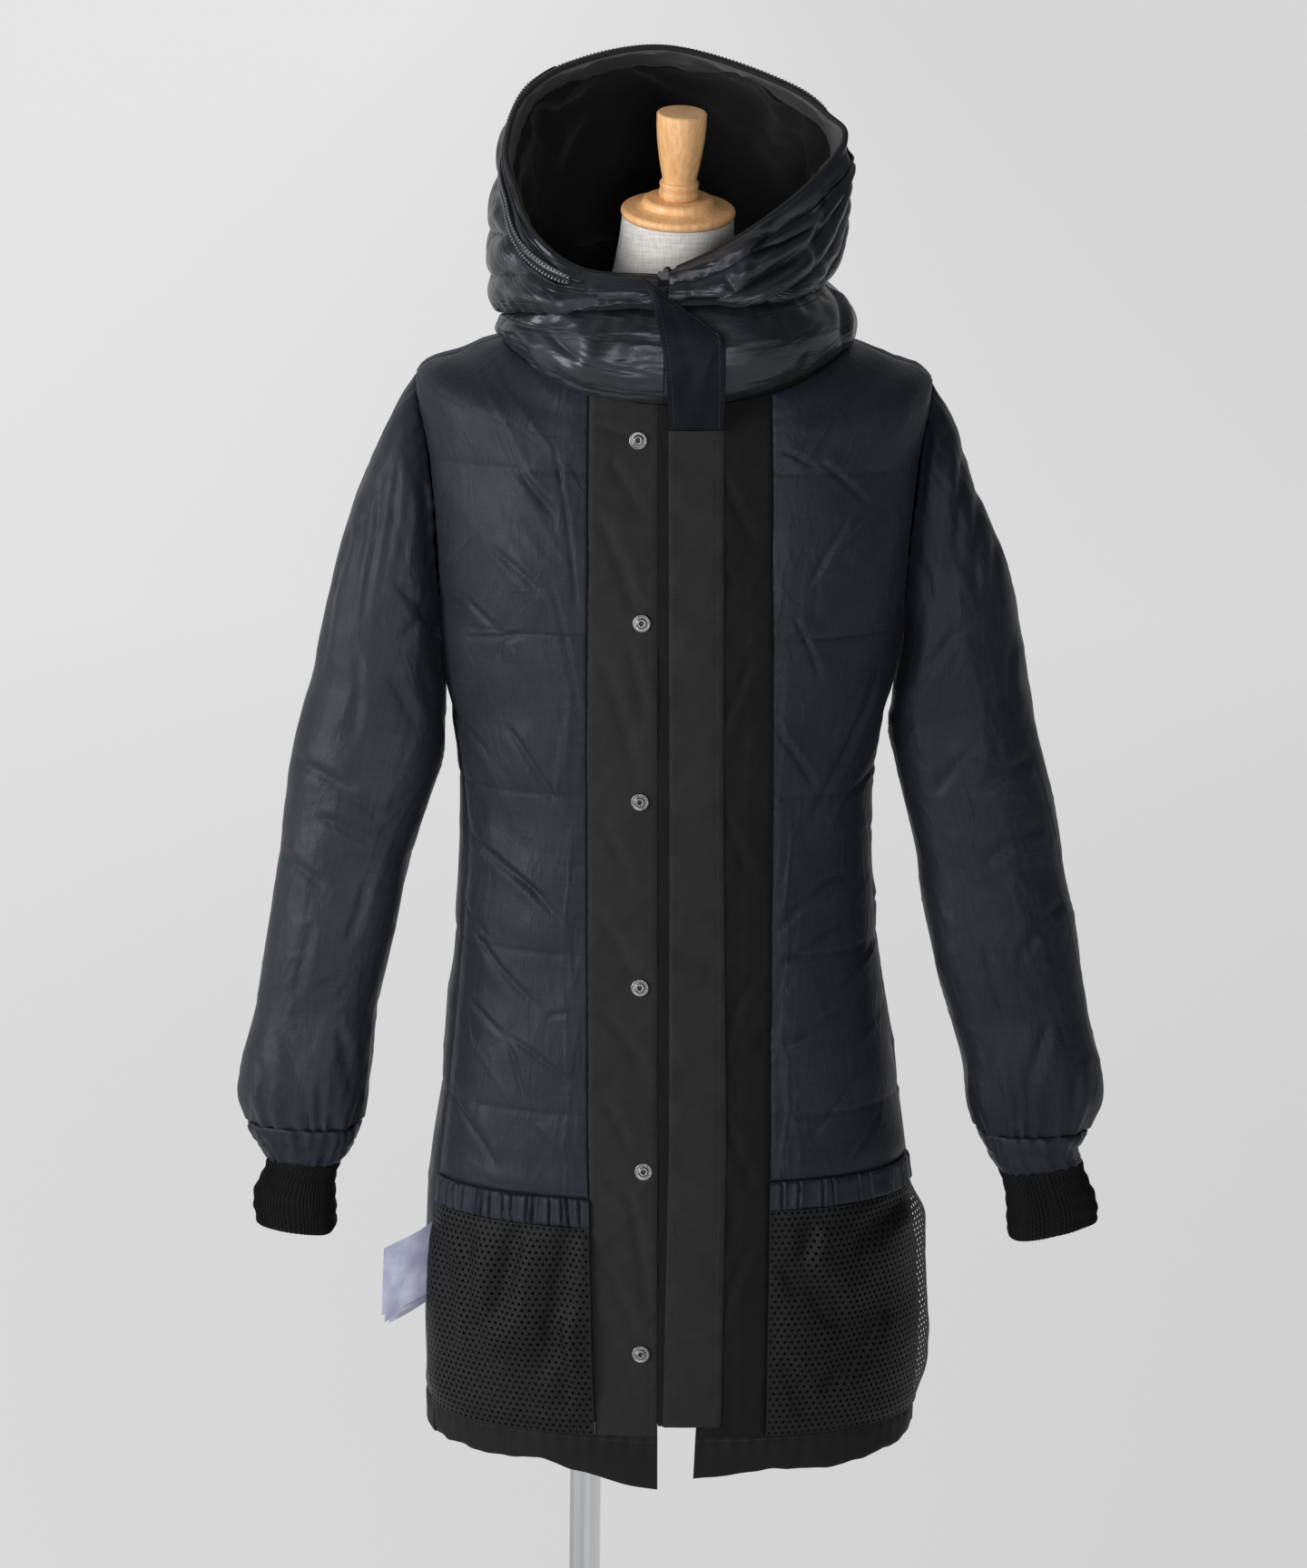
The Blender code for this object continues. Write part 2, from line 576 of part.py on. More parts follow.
def armhole_corners(side, levels, column, behind):
    """Inner points of a body piece along the ridge of the armhole, by row and column."""
    corners = {}
    for i, level in enumerate(levels):
        if UNDERARM <= level <= SHOULDER:
            k = min(range(ARMHOLE_STEPS + 1), key=lambda step: abs(ARM_LEVELS[step] - level))
            turn = 180.0 - 180.0 * k / ARMHOLE_STEPS
            point = armhole_inner(side, -turn if behind else turn)
            if point is not None:
                corners[i, column] = point
    return corners


def quilting(levels):
    """Soft bulges between the quilting lines, flat along the piece's sides."""
    def relief(across, along):
        height = spline(COAT_RINGS, levels[round(along * (len(levels) - 1))])[FRONT]
        bulge = abs(math.sin(math.pi * (height - QUILT_LINE) / QUILT_STEP))
        fade = min(1.0, 8 * along, 8 * (1 - along)) * math.sin(math.pi * across) ** 0.5
        return QUILT_RISE * bulge * fade
    return relief


def make_fronts():
    columns = 7
    seams = {"right": SEAM_R, "left": SEAM_L}
    for side, seam in seams.items():
        pocket = level_at(POCKET_TOP[side])
        levels = [pocket] + BODY_LEVELS + ARM_LEVELS + TOP_LEVELS
        lattice = [[(a, level) for a in blend(edge_angle(seam, level), side_angle(side, level), columns)]
                   for level in levels]
        panel(f"front_{side}", "navy_lining", coat, lattice, PADDED, relief=quilting(levels),
              inner_edges=armhole_corners(side, levels, columns, False))
        low = blend(LOW_LEVELS[0], pocket, 3)
        lattice = [[(a, level) for a in blend(edge_angle(seam, level), side_angle(side, level), columns)]
                   for level in low]
        panel(f"lower_front_{side}", "black_twill", coat, lattice, FACING)


def make_back():
    columns = 16
    levels = LOW_LEVELS + BODY_LEVELS + ARM_LEVELS + TOP_LEVELS
    lattice = []
    for level in levels:
        start, end = side_angle("left", level, True), 360 + side_angle("right", level, True)
        lattice.append([(a, level) for a in blend(start, end, columns)])
    corners = armhole_corners("left", levels, 0, True)
    corners.update(armhole_corners("right", levels, columns, True))
    panel("back_panel", "navy_lining", coat, lattice, PADDED, relief=quilting(levels), inner_edges=corners)


def strip(name, finish, levels, from_edge, to_edge, columns, wall, lift=0.0):
    """A long piece of the front between two of its edges."""
    lattice = [[(a, level) for a in blend(edge_angle(from_edge, level), edge_angle(to_edge, level), columns)]
               for level in levels]
    return panel(name, finish, coat, lattice, wall, lift)


def make_facings():
    levels = LOW_LEVELS[:1] + [level_at(FLAP_BOTTOM)] + LOW_LEVELS[1:] + BODY_LEVELS + ARM_LEVELS + TOP_LEVELS
    strip("facing_right", "black_twill", levels, SEAM_R, EDGE_R, 4, FACING)
    strip("facing_left", "black_twill", levels, EDGE_L, SEAM_L, 4, FACING)
    closed = levels[1:]
    strip("zip_tape", "black_twill", closed, EDGE_R, EDGE_L, 2, FLAP)
    under_seam = [level for level in closed if spline(COAT_RINGS, level)[FRONT] < FLAP_SEAM - 0.01]
    under_seam.append(level_at(FLAP_SEAM))
    strip("zip_flap", "black_twill", under_seam, FLAP_R, FLAP_L, 3, FLAP, GAP + FLAP)


def make_flap_top():
    columns = 4
    outer, inner = [], []
    for height_r, height_l, right, left in FLAP_TOP:
        rows = []
        for x, z in zip(blend(right, left, columns), blend(height_r, height_l, columns)):
            y = -float(np.interp(z, FLAP_TOP_STAND[:, 0], FLAP_TOP_STAND[:, 1]))
            rows.append(np.array((x, y, z)))
        outer.append(rows)
        inner.append([point + np.array((0.0, FLAP, 0.0)) for point in rows])
    cloth_wall("zip_flap_top", "navy_lining", outer, inner)


def hem(angle, level, lift=0.0):
    """The coat's face with the front corners of the hem drawn down."""
    point = coat(angle, level, lift)
    near_front = max(0.0, 1 - abs(angle) / 26.0) if abs(angle) < 90 else 0.0
    side = "left" if angle > 0 else "right"
    point[2] -= HEM_CORNER_DROP[side] * near_front * (1 - level / LOW_LEVELS[0])
    return point


def make_hem():
    levels = blend(0.0, LOW_LEVELS[0], 2)
    spans = {
        "hem_right": (lambda level: edge_angle(EDGE_R, level), lambda level: side_angle("right", level), 10),
        "hem_left": (lambda level: edge_angle(EDGE_L, level), lambda level: side_angle("left", level), 10),
        "hem_back": (lambda level: side_angle("left", level), lambda level: 360 + side_angle("right", level),
                     14),
    }
    for name, (start, end, columns) in spans.items():
        lattice = [[(a, level) for a in blend(start(level), end(level), columns)] for level in levels]
        panel(name, "black_twill", hem, lattice, FACING)


def make_pockets():
    """Net pockets on the lower fronts, each held by a gathered band."""
    def billow(across, along):
        edge = math.sin(math.pi * across) * math.sin(math.pi * along)
        return 0.004 * abs(edge) * (0.6 + 0.4 * math.sin(2 * math.pi * (2.5 * across + along)))

    for side, seam in {"right": SEAM_R, "left": SEAM_L}.items():
        top = level_at(POCKET_TOP[side])
        foot = level_at(POCKET_TOP[side] - POCKET_BAND)
        for name, low, high, rows, columns, swell, relief, finish, wall in (
                ("net", LOW_LEVELS[0], foot, 5, 8, billow, no_relief, "pocket_net", NET),
                ("band", foot, top, 1, 26, no_relief, gathers(13, GATHER), "navy_lining", FLAP)):
            lattice = [[(a, level) for a in blend(edge_angle(seam, level), side_angle(side, level), columns)]
                       for level in blend(low, high, rows)]
            panel(f"pocket_{name}_{side}", finish, coat, lattice, wall, wall + 2 * GAP, relief, swell)


# ---------------------------------------------------------------- sleeves

def make_sleeves():
    around = 2 * ARMHOLE_STEPS
    for side in ("right", "left"):
        last = float(len(SLEEVE_SECTIONS[side]))

        def surface(turn, section, lift, side=side):
            return sleeve(side, turn, section, lift)

        def rings(sections, count):
            return [[(360.0 * j / count, section) for j in range(count)] for section in sections]

        corners = {}
        for j in range(around):
            turn = 360.0 * j / around
            corner = armhole_inner(side, turn if turn <= 180 else turn - 360)
            if corner is not None:
                corners[0, j] = corner
        panel(f"sleeve_{side}", "navy_lining", surface, rings(blend(0.0, BAND_START, 12), around), PADDED,
              closed=True, inner_edges=corners)
        panel(f"sleeve_band_{side}", "navy_lining", surface,
              rings(blend(BAND_START, BAND_END, 2), 2 * BAND_GATHERS), PADDED - GATHER,
              relief=gathers(BAND_GATHERS, GATHER), closed=True)
        panel(f"rib_cuff_{side}", "rib_knit", surface, rings(blend(BAND_END, last, 3), 2 * CUFF_RIBS),
              RIB_WALL, relief=gathers(CUFF_RIBS, RIB_HEIGHT), closed=True)


# ---------------------------------------------------------------- collar and hood

def hood_folds(across, along):
    """Folds stacked round the hood, strongest at its sides and none at its edges."""
    side = abs(math.sin(2 * math.pi * across)) ** 0.8
    wave = 0.5 - 0.5 * math.cos(2 * math.pi * HOOD_FOLDS * along)
    return HOOD_FOLD * (0.35 + 0.65 * side) * wave * math.sin(math.pi * along) ** 0.5


def collar_folds(across, along):
    """Down pushed into soft pillows along the collar."""
    return 0.003 * math.sin(math.pi * along) * (0.5 - 0.5 * math.cos(2 * math.pi * 7 * across))


def make_collar_and_hood():
    angles = blend(0.0, 360.0, HOOD_COLUMNS)
    panel("collar", "shiny_nylon", collar, [[(a, rise) for a in angles] for rise in blend(0.0, 1.0, 6)],
          PADDED, relief=collar_folds)
    edges = [rise_below_rim(a, HOOD_FACING) for a in angles]
    lining = [[(a, edge * share) for a, edge in zip(angles, edges)] for share in blend(0.0, 1.0, 7)]
    facing = [[(a, edge + (1 - edge) * share) for a, edge in zip(angles, edges)] for share in blend(0, 1, 3)]
    panel("hood_outer", "shiny_nylon", hood, lining + facing[1:], PADDED, relief=hood_folds)
    inside = -(PADDED + GAP * 2)
    panel("hood_lining", "hood_cloth", hood, lining, LINER, inside)
    panel("hood_facing", "black_twill", hood, facing, LINER, inside)
    span = [a for a in angles if RUFF_ZIP_SPAN[0] <= a <= RUFF_ZIP_SPAN[1]]
    tape = [[(a, rise_below_rim(a, distance, 0.3)) for a in span] for distance in RUFF_ZIP]

    def on_folds(across, along):
        angle, rise = tape[round(along)][round(across * (len(span) - 1))]
        return hood_folds(angle / 360, rise)

    panel("hood_zip_tape", "zip_plastic", hood, tape, LINER, LINER + 3 * GAP, swell=on_folds)


# ---------------------------------------------------------------- turned pieces and hard trim

def turned(name, finish, profile, steps, matrix, parent=True):
    """A turned piece: the profile, outer side downwards, screwed round its own Z axis."""
    mesh = bpy.data.meshes.new(name)
    points = [(radius, 0.0, height) for radius, height in profile]
    mesh.from_pydata(points, [(i, i + 1) for i in range(len(points) - 1)], [])
    made = add_object(name, mesh, finish, parent=parent)
    screw = made.modifiers.new("turn", "SCREW")
    screw.axis = "Z"
    screw.steps = steps
    screw.render_steps = steps
    screw.use_merge_vertices = True
    screw.merge_threshold = 0.00001
    screw.use_normal_calculate = False
    made.matrix_local = matrix
    return made


def neck_axis():
    """Placement whose Z axis is the neck's, with its origin on the cap's upper face."""
    tilt = Matrix.Rotation(math.radians(NECK_AXIS_TILT), 4, "X")
    lean = Matrix.Rotation(math.radians(NECK_AXIS_LEAN), 4, "Y")
    return Matrix.Translation(CAP_CENTRE) @ lean @ tilt


def make_form():
    """The limbless torso, closed below, with a neck that ends square to its own axis."""
    angles = [360.0 * j / FORM_SIDES for j in range(FORM_SIDES)]
    rings = [[Vector(ring_point(FORM_RINGS, a, level, FORM_ROUNDNESS)) for a in angles]
             for level in range(len(FORM_RINGS))]
    axis = neck_axis()
    for drop, radius in ((0.036, NECK_RADIUS + 0.003), (CAP_THICKNESS + GAP, NECK_RADIUS)):
        ring = []
        for a in angles:
            out = outward(a)
            ring.append(axis @ Vector((radius * out[0], radius * out[1], -drop)))
        rings.append(ring)
    bm = bmesh.new()
    verts = [[bm.verts.new(point) for point in ring] for ring in rings]
    for lower, upper in zip(verts, verts[1:]):
        for j in range(FORM_SIDES):
            k = (j + 1) % FORM_SIDES
            bm.faces.new((lower[j], lower[k], upper[k], upper[j]))
    bm.faces.new(verts[0])
    bm.faces.new(verts[-1])
    bmesh.ops.recalc_face_normals(bm, faces=bm.faces)
    mesh = bpy.data.meshes.new("form_torso")
    bm.to_mesh(mesh)
    bm.free()
    add_object("form_torso", mesh, "linen")
    turned("form_cap", "turned_wood", CAP_PROFILE, 20, axis)
    turned("form_knob", "turned_wood", KNOB_PROFILE, 18, axis)


def make_stand():
    turned("stand_base", "chrome", BASE_PROFILE, 32, Matrix.Identity(4), parent=False)
    foot = max(height for _, height in BASE_PROFILE) + GAP
    top = FORM_RINGS[0][SIDE] - GAP
    bm = bmesh.new()
    bmesh.ops.create_cone(bm, cap_ends=True, segments=24, radius1=POLE_RADIUS, radius2=POLE_RADIUS,
                          depth=top - foot, matrix=Matrix.Translation((0, 0, (top + foot) / 2)))
    mesh = bpy.data.meshes.new("stand_pole")
    bm.to_mesh(mesh)
    bm.free()
    add_object("stand_pole", mesh, "chrome", parent=False)


def make_snaps():
    for number, (height, x) in enumerate(zip(SNAP_HEIGHTS, SNAP_X), 1):
        level = level_at(height)
        angle = angle_at(x, level)
        normal = Vector(normal_of(coat_point, angle, level, 0.6, 0.02))
        seat = Vector(coat_point(angle, level)) + normal * SNAP_SEAT
        turn = normal.to_track_quat("Z", "Y").to_matrix().to_4x4()
        turned(f"snap_{number}", "snap_metal", SNAP_PROFILE, 10, Matrix.Translation(seat) @ turn)


def make_slider():
    """The zip's slider at the top of the closed zip, with the small knob that the tab hooks on."""
    bm = bmesh.new()
    bmesh.ops.create_cube(bm, size=1.0)
    bmesh.ops.scale(bm, vec=SLIDER_SIZE, verts=bm.verts)
    bmesh.ops.bevel(bm, geom=bm.edges[:], offset=0.0012, segments=2, affect="EDGES")
    seat = Vector(hood_point(SLIDER_ANGLE, 1.0)) + Vector((0.0, PADDED / 2, SLIDER_SIZE[2] / 2 + 2 * GAP))
    mesh = bpy.data.meshes.new("zip_slider")
    bm.to_mesh(mesh)
    bm.free()
    slider = add_object("zip_slider", mesh, "zip_plastic")
    slider.location = seat
    knob_mesh = bpy.data.meshes.new("slider_knob")
    bm = bmesh.new()
    bmesh.ops.create_uvsphere(bm, u_segments=12, v_segments=8, radius=SLIDER_KNOB)
    bm.to_mesh(knob_mesh)
    bm.free()
    knob = bpy.data.objects.new("slider_knob", knob_mesh)
    knob.location = seat + Vector((SLIDER_KNOB / 2, 0.0, SLIDER_SIZE[2] / 2 + SLIDER_KNOB / 3))
    knob.parent = coat_frame
    knob.hide_render = True
    knob.display_type = "WIRE"
    cutter_collection.objects.link(knob)
    join = slider.modifiers.new("knob", "BOOLEAN")
    join.operation = "UNION"
    join.solver = "EXACT"
    join.object = knob


def make_label():
    """Care label, sewn into the right side seam by its inner edge, hanging out and down."""
    columns, rows = 5, 4
    outer, inner = [], []
    for i in range(rows + 1):
        outer.append([])
        inner.append([])
        level = level_at(LABEL_TOP - LABEL_SIZE[1] * i / rows)
        seam = coat(side_angle("right", level) - LABEL_BEHIND_SEAM, level, GAP)
        for j in range(columns + 1):
            out = j / columns
            bow = 0.004 * math.sin(math.pi * out)
            point = seam + np.array((-LABEL_SIZE[0] * out, -0.008 * out - bow, -LABEL_DROOP * out))
            outer[i].append(point)
            inner[i].append(point - np.array((0.0, LABEL_WALL, 0.0)))
    cloth_wall("care_label", "label_cloth", outer, inner)


# ---------------------------------------------------------------- build

clear_scene()
parka_collection = bpy.data.collections.new("parka_on_dress_form")
cutter_collection = bpy.data.collections.new("cutters")
for collection in (parka_collection, cutter_collection):
    bpy.context.scene.collection.children.link(collection)
coat_frame = bpy.data.objects.new("coat_frame", None)
coat_frame.location = (COAT_X, 0.0, 0.0)
parka_collection.objects.link(coat_frame)

make_stand()
make_form()
make_back()
make_fronts()
make_facings()
make_flap_top()
make_hem()
make_pockets()
make_sleeves()
make_collar_and_hood()
make_snaps()
make_slider()
make_label()
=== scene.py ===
import math

import bmesh
import bpy
import numpy as np
from mathutils import Matrix, Vector


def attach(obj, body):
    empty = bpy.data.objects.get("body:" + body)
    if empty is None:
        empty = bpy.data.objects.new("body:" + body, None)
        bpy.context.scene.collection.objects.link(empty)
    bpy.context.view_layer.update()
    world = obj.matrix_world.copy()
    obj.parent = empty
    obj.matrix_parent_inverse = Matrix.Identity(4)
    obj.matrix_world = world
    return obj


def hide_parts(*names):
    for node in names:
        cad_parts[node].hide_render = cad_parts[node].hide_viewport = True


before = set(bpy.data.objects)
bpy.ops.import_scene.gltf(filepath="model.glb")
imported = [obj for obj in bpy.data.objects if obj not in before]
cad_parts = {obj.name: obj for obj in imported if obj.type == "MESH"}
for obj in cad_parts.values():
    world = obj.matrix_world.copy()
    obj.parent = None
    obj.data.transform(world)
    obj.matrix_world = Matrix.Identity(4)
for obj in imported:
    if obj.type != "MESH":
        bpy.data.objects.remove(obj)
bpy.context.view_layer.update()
coatX = 0.0686      # the coat's middle plane, from the pole's axis
gap = 0.0003        # between pieces that touch
trim = 0.00018      # how far a sewn edge is set back

# Rings of the coat, hem to neckline: heights at the side, front and back, half widths, depths
coatRings = np.array([
    (0.426, 0.424, 0.422, 0.206, 0.214, 0.134, 0.14), (0.52, 0.52, 0.52, 0.2085, 0.2165, 0.135, 0.138),
    (0.64, 0.64, 0.64, 0.2045, 0.206, 0.132, 0.131), (0.74, 0.74, 0.74, 0.1945, 0.193, 0.127, 0.122),
    (0.85, 0.85, 0.85, 0.185, 0.175, 0.122, 0.111), (0.95, 0.95, 0.95, 0.179, 0.167, 0.121, 0.107),
    (1.05, 1.05, 1.05, 0.1865, 0.174, 0.13, 0.111), (1.13, 1.125, 1.13, 0.1975, 0.19, 0.135, 0.116),
    (1.2, 1.185, 1.195, 0.207, 0.2, 0.133, 0.118), (1.27, 1.24, 1.262, 0.214, 0.207, 0.127, 0.116),
    (1.331, 1.285, 1.318, 0.2185, 0.2096, 0.121, 0.108), (1.349, 1.303, 1.346, 0.183, 0.176, 0.118, 0.1),
    (1.364, 1.32, 1.372, 0.145, 0.141, 0.116, 0.092),
])
coatShape = {"roundness": 0.83, "underarm": 7.0, "shoulder": 10.0, "neckline": 12.0,
             "armholeFront": 17.0, "armholeBack": 20.0, "seamForward": {"right": 18.0, "left": 3.0},
             "hemTop": 0.45, "cornerDrop": {"right": 0.022, "left": 0.014},
             "pocketTop": {"right": 0.654, "left": 0.67}, "pocketBand": 0.024,
             "flapBottom": 0.459, "flapSeam": 1.299, "quiltLine": 0.86, "quiltStep": 0.135}
sideSign = {"right": -1.0, "left": 1.0}

# Long edges of the front, as distances from the middle plane
frontEdges = {
    "height": (0.4, 0.47, 0.7, 1.0, 1.3, 1.37),
    "seamRight": (-0.059, -0.06, -0.068, -0.0722, -0.0735, -0.074),
    "edgeRight": (-0.0055, -0.007, -0.0098, -0.0137, -0.017, -0.0175),
    "flapRight": (-0.003, -0.0025, -0.0005, -0.0039, -0.0088, -0.01),
    "edgeLeft": (0.0225, 0.0262, 0.0262, 0.024, 0.018, 0.016),
    "flapLeft": (0.0415, 0.0465, 0.0475, 0.0405, 0.0368, 0.0368),
    "seamLeft": (0.0835, 0.0843, 0.084, 0.0811, 0.076, 0.0745),
}


# curves and surfaces

def alongRows(rows, place):
    rows, place = np.asarray(rows, float), np.asarray(place, float)
    last = len(rows) - 1
    i = np.clip(np.floor(place).astype(int), 0, last - 1)
    t = (place - i)[..., None]
    b, c = rows[i], rows[i + 1]
    a = np.where((i > 0)[..., None], rows[np.maximum(i - 1, 0)], 2 * b - c)
    d = np.where((i + 2 <= last)[..., None], rows[np.minimum(i + 2, last)], 2 * c - b)
    return 0.5 * (2 * b + (c - a) * t + (2 * a - 5 * b + 4 * c - d) * t * t + (3 * b - a - 3 * c + d) * t ** 3)


def smooth(value):
    value = np.clip(value, 0.0, 1.0)
    return value * value * (3 - 2 * value)


def bump(distance, width):
    return np.exp(-(distance / width) ** 2)


def signedPower(value, power):
    return np.sign(value) * np.abs(value) ** power


def ringFace(rings, angle, level, roundness):
    row = alongRows(rings, level)
    s, c = np.sin(np.radians(angle)), np.cos(np.radians(angle))
    half = np.where(s > 0, row[..., 4], row[..., 3])
    depth = np.where(c > 0, row[..., 5], row[..., 6])
    height = np.where(c > 0, row[..., 1], row[..., 2])
    return np.stack((half * signedPower(s, roundness), -depth * signedPower(c, roundness),
                     row[..., 0] * s * s + height * c * c), -1)


def coatFace(angle, level):
    return ringFace(coatRings, angle, level, coatShape["roundness"])


levelSteps = np.linspace(0.0, coatShape["neckline"], 2401)
frontHeights = alongRows(coatRings, levelSteps)[:, 1]


def levelAt(height):
    return np.interp(height, frontHeights, levelSteps)


def angleAt(x, level):
    row = alongRows(coatRings, level)
    half = np.where(x > 0, row[..., 4], row[..., 3])
    return np.sign(x) * np.degrees(np.arcsin((np.abs(x) / half) ** (1 / coatShape["roundness"])))


def edgeAngle(edge, level):
    height = np.interp(level, levelSteps, frontHeights)
    return angleAt(np.interp(height, frontEdges["height"], frontEdges[edge]), level)


hemTop, flapFoot = levelAt(coatShape["hemTop"]), levelAt(coatShape["flapBottom"])


def sideAngle(side, level, behind=False):
    level = np.asarray(level, float)
    under, top = coatShape["underarm"], coatShape["shoulder"]
    forward = coatShape["seamForward"][side] * np.clip((under - level) / 2, 0, 1)
    share = np.clip((level - under) / (top - under), 0, 1)
    reach = -coatShape["armholeBack"] if behind else coatShape["armholeFront"]
    return sideSign[side] * (90 - np.where(level <= under, forward, reach * 2 * np.sqrt(share * (1 - share))))


def gridNormals(points, outward, closed=False):
    if closed:
        across = np.roll(points, -1, 1) - np.roll(points, 1, 1)
    else:
        across = np.gradient(points, axis=1)
    normals = np.cross(across, np.gradient(points, axis=0))
    normals /= np.maximum(np.linalg.norm(normals, axis=-1, keepdims=True), 1e-12)
    return normals if np.sum(normals * outward) > 0 else -normals


def runLengths(points, axis):
    steps = np.linalg.norm(np.diff(points, axis=axis), axis=-1)
    start = np.zeros_like(np.take(steps, [0], axis))
    return np.concatenate((start, np.cumsum(steps, axis)), axis)


def pointsAlong(line, run, places):
    return np.stack([np.interp(places, run, line[:, k]) for k in range(3)], -1)


# relief: everything below returns how far the cloth stands out, in metres

def softNoise(x, y, size, seed):
    table = np.random.default_rng(seed).uniform(-1, 1, (61, 61))
    u, v = x / size + 13.7, y / size + 29.3
    i, j = np.floor(u).astype(int), np.floor(v).astype(int)
    s, t = smooth(u - i), smooth(v - j)
    a, b = table[i % 61, j % 61], table[(i + 1) % 61, j % 61]
    c, d = table[i % 61, (j + 1) % 61], table[(i + 1) % 61, (j + 1) % 61]
    return (a + (b - a) * s) * (1 - t) + (c + (d - c) * s) * t


def layeredNoise(x, y, size, seed, layers=3):
    return sum(softNoise(x, y, size / 2 ** k, seed + k) / 2 ** k for k in range(layers))


def slanted(x, y, degrees, stretch):
    c, s = math.cos(math.radians(degrees)), math.sin(math.radians(degrees))
    return (x * c + y * s) / stretch, -x * s + y * c


def creases(x, y, table, soft):
    # a trough and a broad ridge to its left; rows in millimetres: start, end and bow, then the size
    lift = np.zeros_like(x)
    for x0, y0, x1, y1, bow, size in table:
        x0, y0, x1, y1, bow = (v / 1000 for v in (x0, y0, x1, y1, bow))
        dx, dy = x1 - x0, y1 - y0
        length = math.hypot(dx, dy)
        t = ((x - x0) * dx + (y - y0) * dy) / length ** 2
        off = ((y - y0) * dx - (x - x0) * dy) / length - bow * 4 * t * (1 - t)
        q = off / (0.0055 * size * soft * (0.95 + 0.4 * np.clip(t, 0, 1)))
        shape = 0.5 * bump(q - 2.3, 1.8) + 0.5 * bump(q - 0.95, 0.75) - bump(q, 0.55) + 0.25 * bump(q + 1.4, 1.0)
        lift += 0.003 * size * smooth(t * 5) * smooth((1 - t) * 3.2) * shape
    return lift


def turnedEdge(distance, radius, drop):
    return -drop * (1 - np.sqrt(1 - np.clip(1 - distance / radius, 0, 1) ** 2))


def puckers(distance, along, reach, height, spacing, seed):
    wave = np.sin(2 * math.pi * (along / spacing + 0.45 * softNoise(along, along * 0, spacing * 2.3, seed)))
    patchy = 0.5 + 0.5 * softNoise(along, distance * 0, spacing * 4, seed + 7)
    return height * wave * patchy * np.exp(-distance / reach)


# meshes

def newMesh(name, points, faces, sharp=None, matrix=None):
    mesh = bpy.data.meshes.new(name)
    mesh.from_pydata(points, [], faces)
    if matrix is not None:
        mesh.transform(matrix)
        mesh.validate()
    mesh.shade_smooth()
    if sharp is not None:
        mesh.set_sharp_from_angle(angle=math.radians(sharp))
    return mesh


def tubeFaces(rings, sides, start=0, turned=False):
    corners = ((0, 0), (1, 0), (1, 1), (0, 1)) if turned else ((0, 0), (0, 1), (1, 1), (1, 0))
    return [[start + (i + down) * sides + (j + on) % sides for down, on in corners]
            for i in range(rings - 1) for j in range(sides)]


def tubeEnds(rings, sides, start=0):
    last = start + (rings - 1) * sides
    return [list(range(start, start + sides))[::-1], list(range(last, last + sides))]


def layFlat(mesh, cloth):
    # where each corner lies on the cloth it is cut from, in metres
    mesh.uv_layers.new(name="cut").data.foreach_set("uv", cloth.ravel())


def everySecond(count):
    return np.append(np.arange(0, count - 1, 2), count - 1)


def buildShell(name, outer, inner, finish, nodes=(), closed=False, sharp=55):
    # a closed wall; its hidden side has half as many rows and columns
    rows, columns = outer.shape[:2]
    count = rows * columns
    wide = columns + 1 if closed else columns
    grid = np.arange(rows * wide).reshape(rows, wide)
    down, over = everySecond(rows), everySecond(wide)

    def cells(part):
        return np.stack((part[:-1, :-1], part[:-1, 1:], part[1:, 1:], part[1:, :-1]), -1).reshape(-1, 4)

    def rim(line, picks):
        return [([*line[a:b + 1], line[b], line[a]], b + 1 - a) for a, b in zip(picks, picks[1:])]

    front, hidden = cells(grid), cells(grid[np.ix_(down, over)])[:, ::-1]
    rims = rim(grid[0][::-1], wide - 1 - over[::-1]) + rim(grid[-1], over)
    if not closed:
        rims += rim(grid[:, 0], down) + rim(grid[:, -1][::-1], rows - 1 - down[::-1])
    places = np.concatenate([front.ravel(), hidden.ravel()] + [face for face, _ in rims])
    behind = np.concatenate([np.zeros(front.size, int), np.ones(hidden.size, int)]
                            + [[0] * n + [1] * 2 for _, n in rims])
    corners = places // wide * columns + places % wide % columns + behind * count
    used, corners = np.unique(corners, return_inverse=True)
    sizes = [4] * (len(front) + len(hidden)) + [len(face) for face, _ in rims]
    starts = np.concatenate(([0], np.cumsum(sizes)))
    order = np.arange(len(corners))
    if np.sum(np.cross(outer[0, 1] - outer[0, 0], outer[1, 0] - outer[0, 0]) * (outer[0, 0] - inner[0, 0])) < 0:
        order = np.concatenate([np.arange(b - 1, a - 1, -1) for a, b in zip(starts, starts[1:])])
    faces = np.split(corners[order], starts[1:-1])
    wrapped = np.concatenate((outer, outer[:, :1]), 1) if closed else outer
    across = runLengths(wrapped, 1).mean(0)
    along = runLengths(wrapped, 0).mean(1)
    cloth = np.stack(np.meshgrid(across, along), -1).reshape(-1, 2)
    points = np.concatenate((outer.reshape(-1, 3), inner.reshape(-1, 3)))[used] + (coatX, 0, 0)
    mesh = newMesh(name, points.tolist(), [face.tolist() for face in faces], sharp)
    layFlat(mesh, cloth[places[order]])
    return addPiece(name, mesh, finish, nodes)


def addObject(name, data):
    thing = bpy.data.objects.new(name, data)
    bpy.context.scene.collection.objects.link(thing)
    return thing


def addPiece(name, mesh, finish, nodes=()):
    material, ownSlot = finishes[finish]
    mesh.materials.append(material)
    piece = addObject(name, mesh)
    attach(piece, "root")
    if nodes:
        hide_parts(*nodes)
    return piece


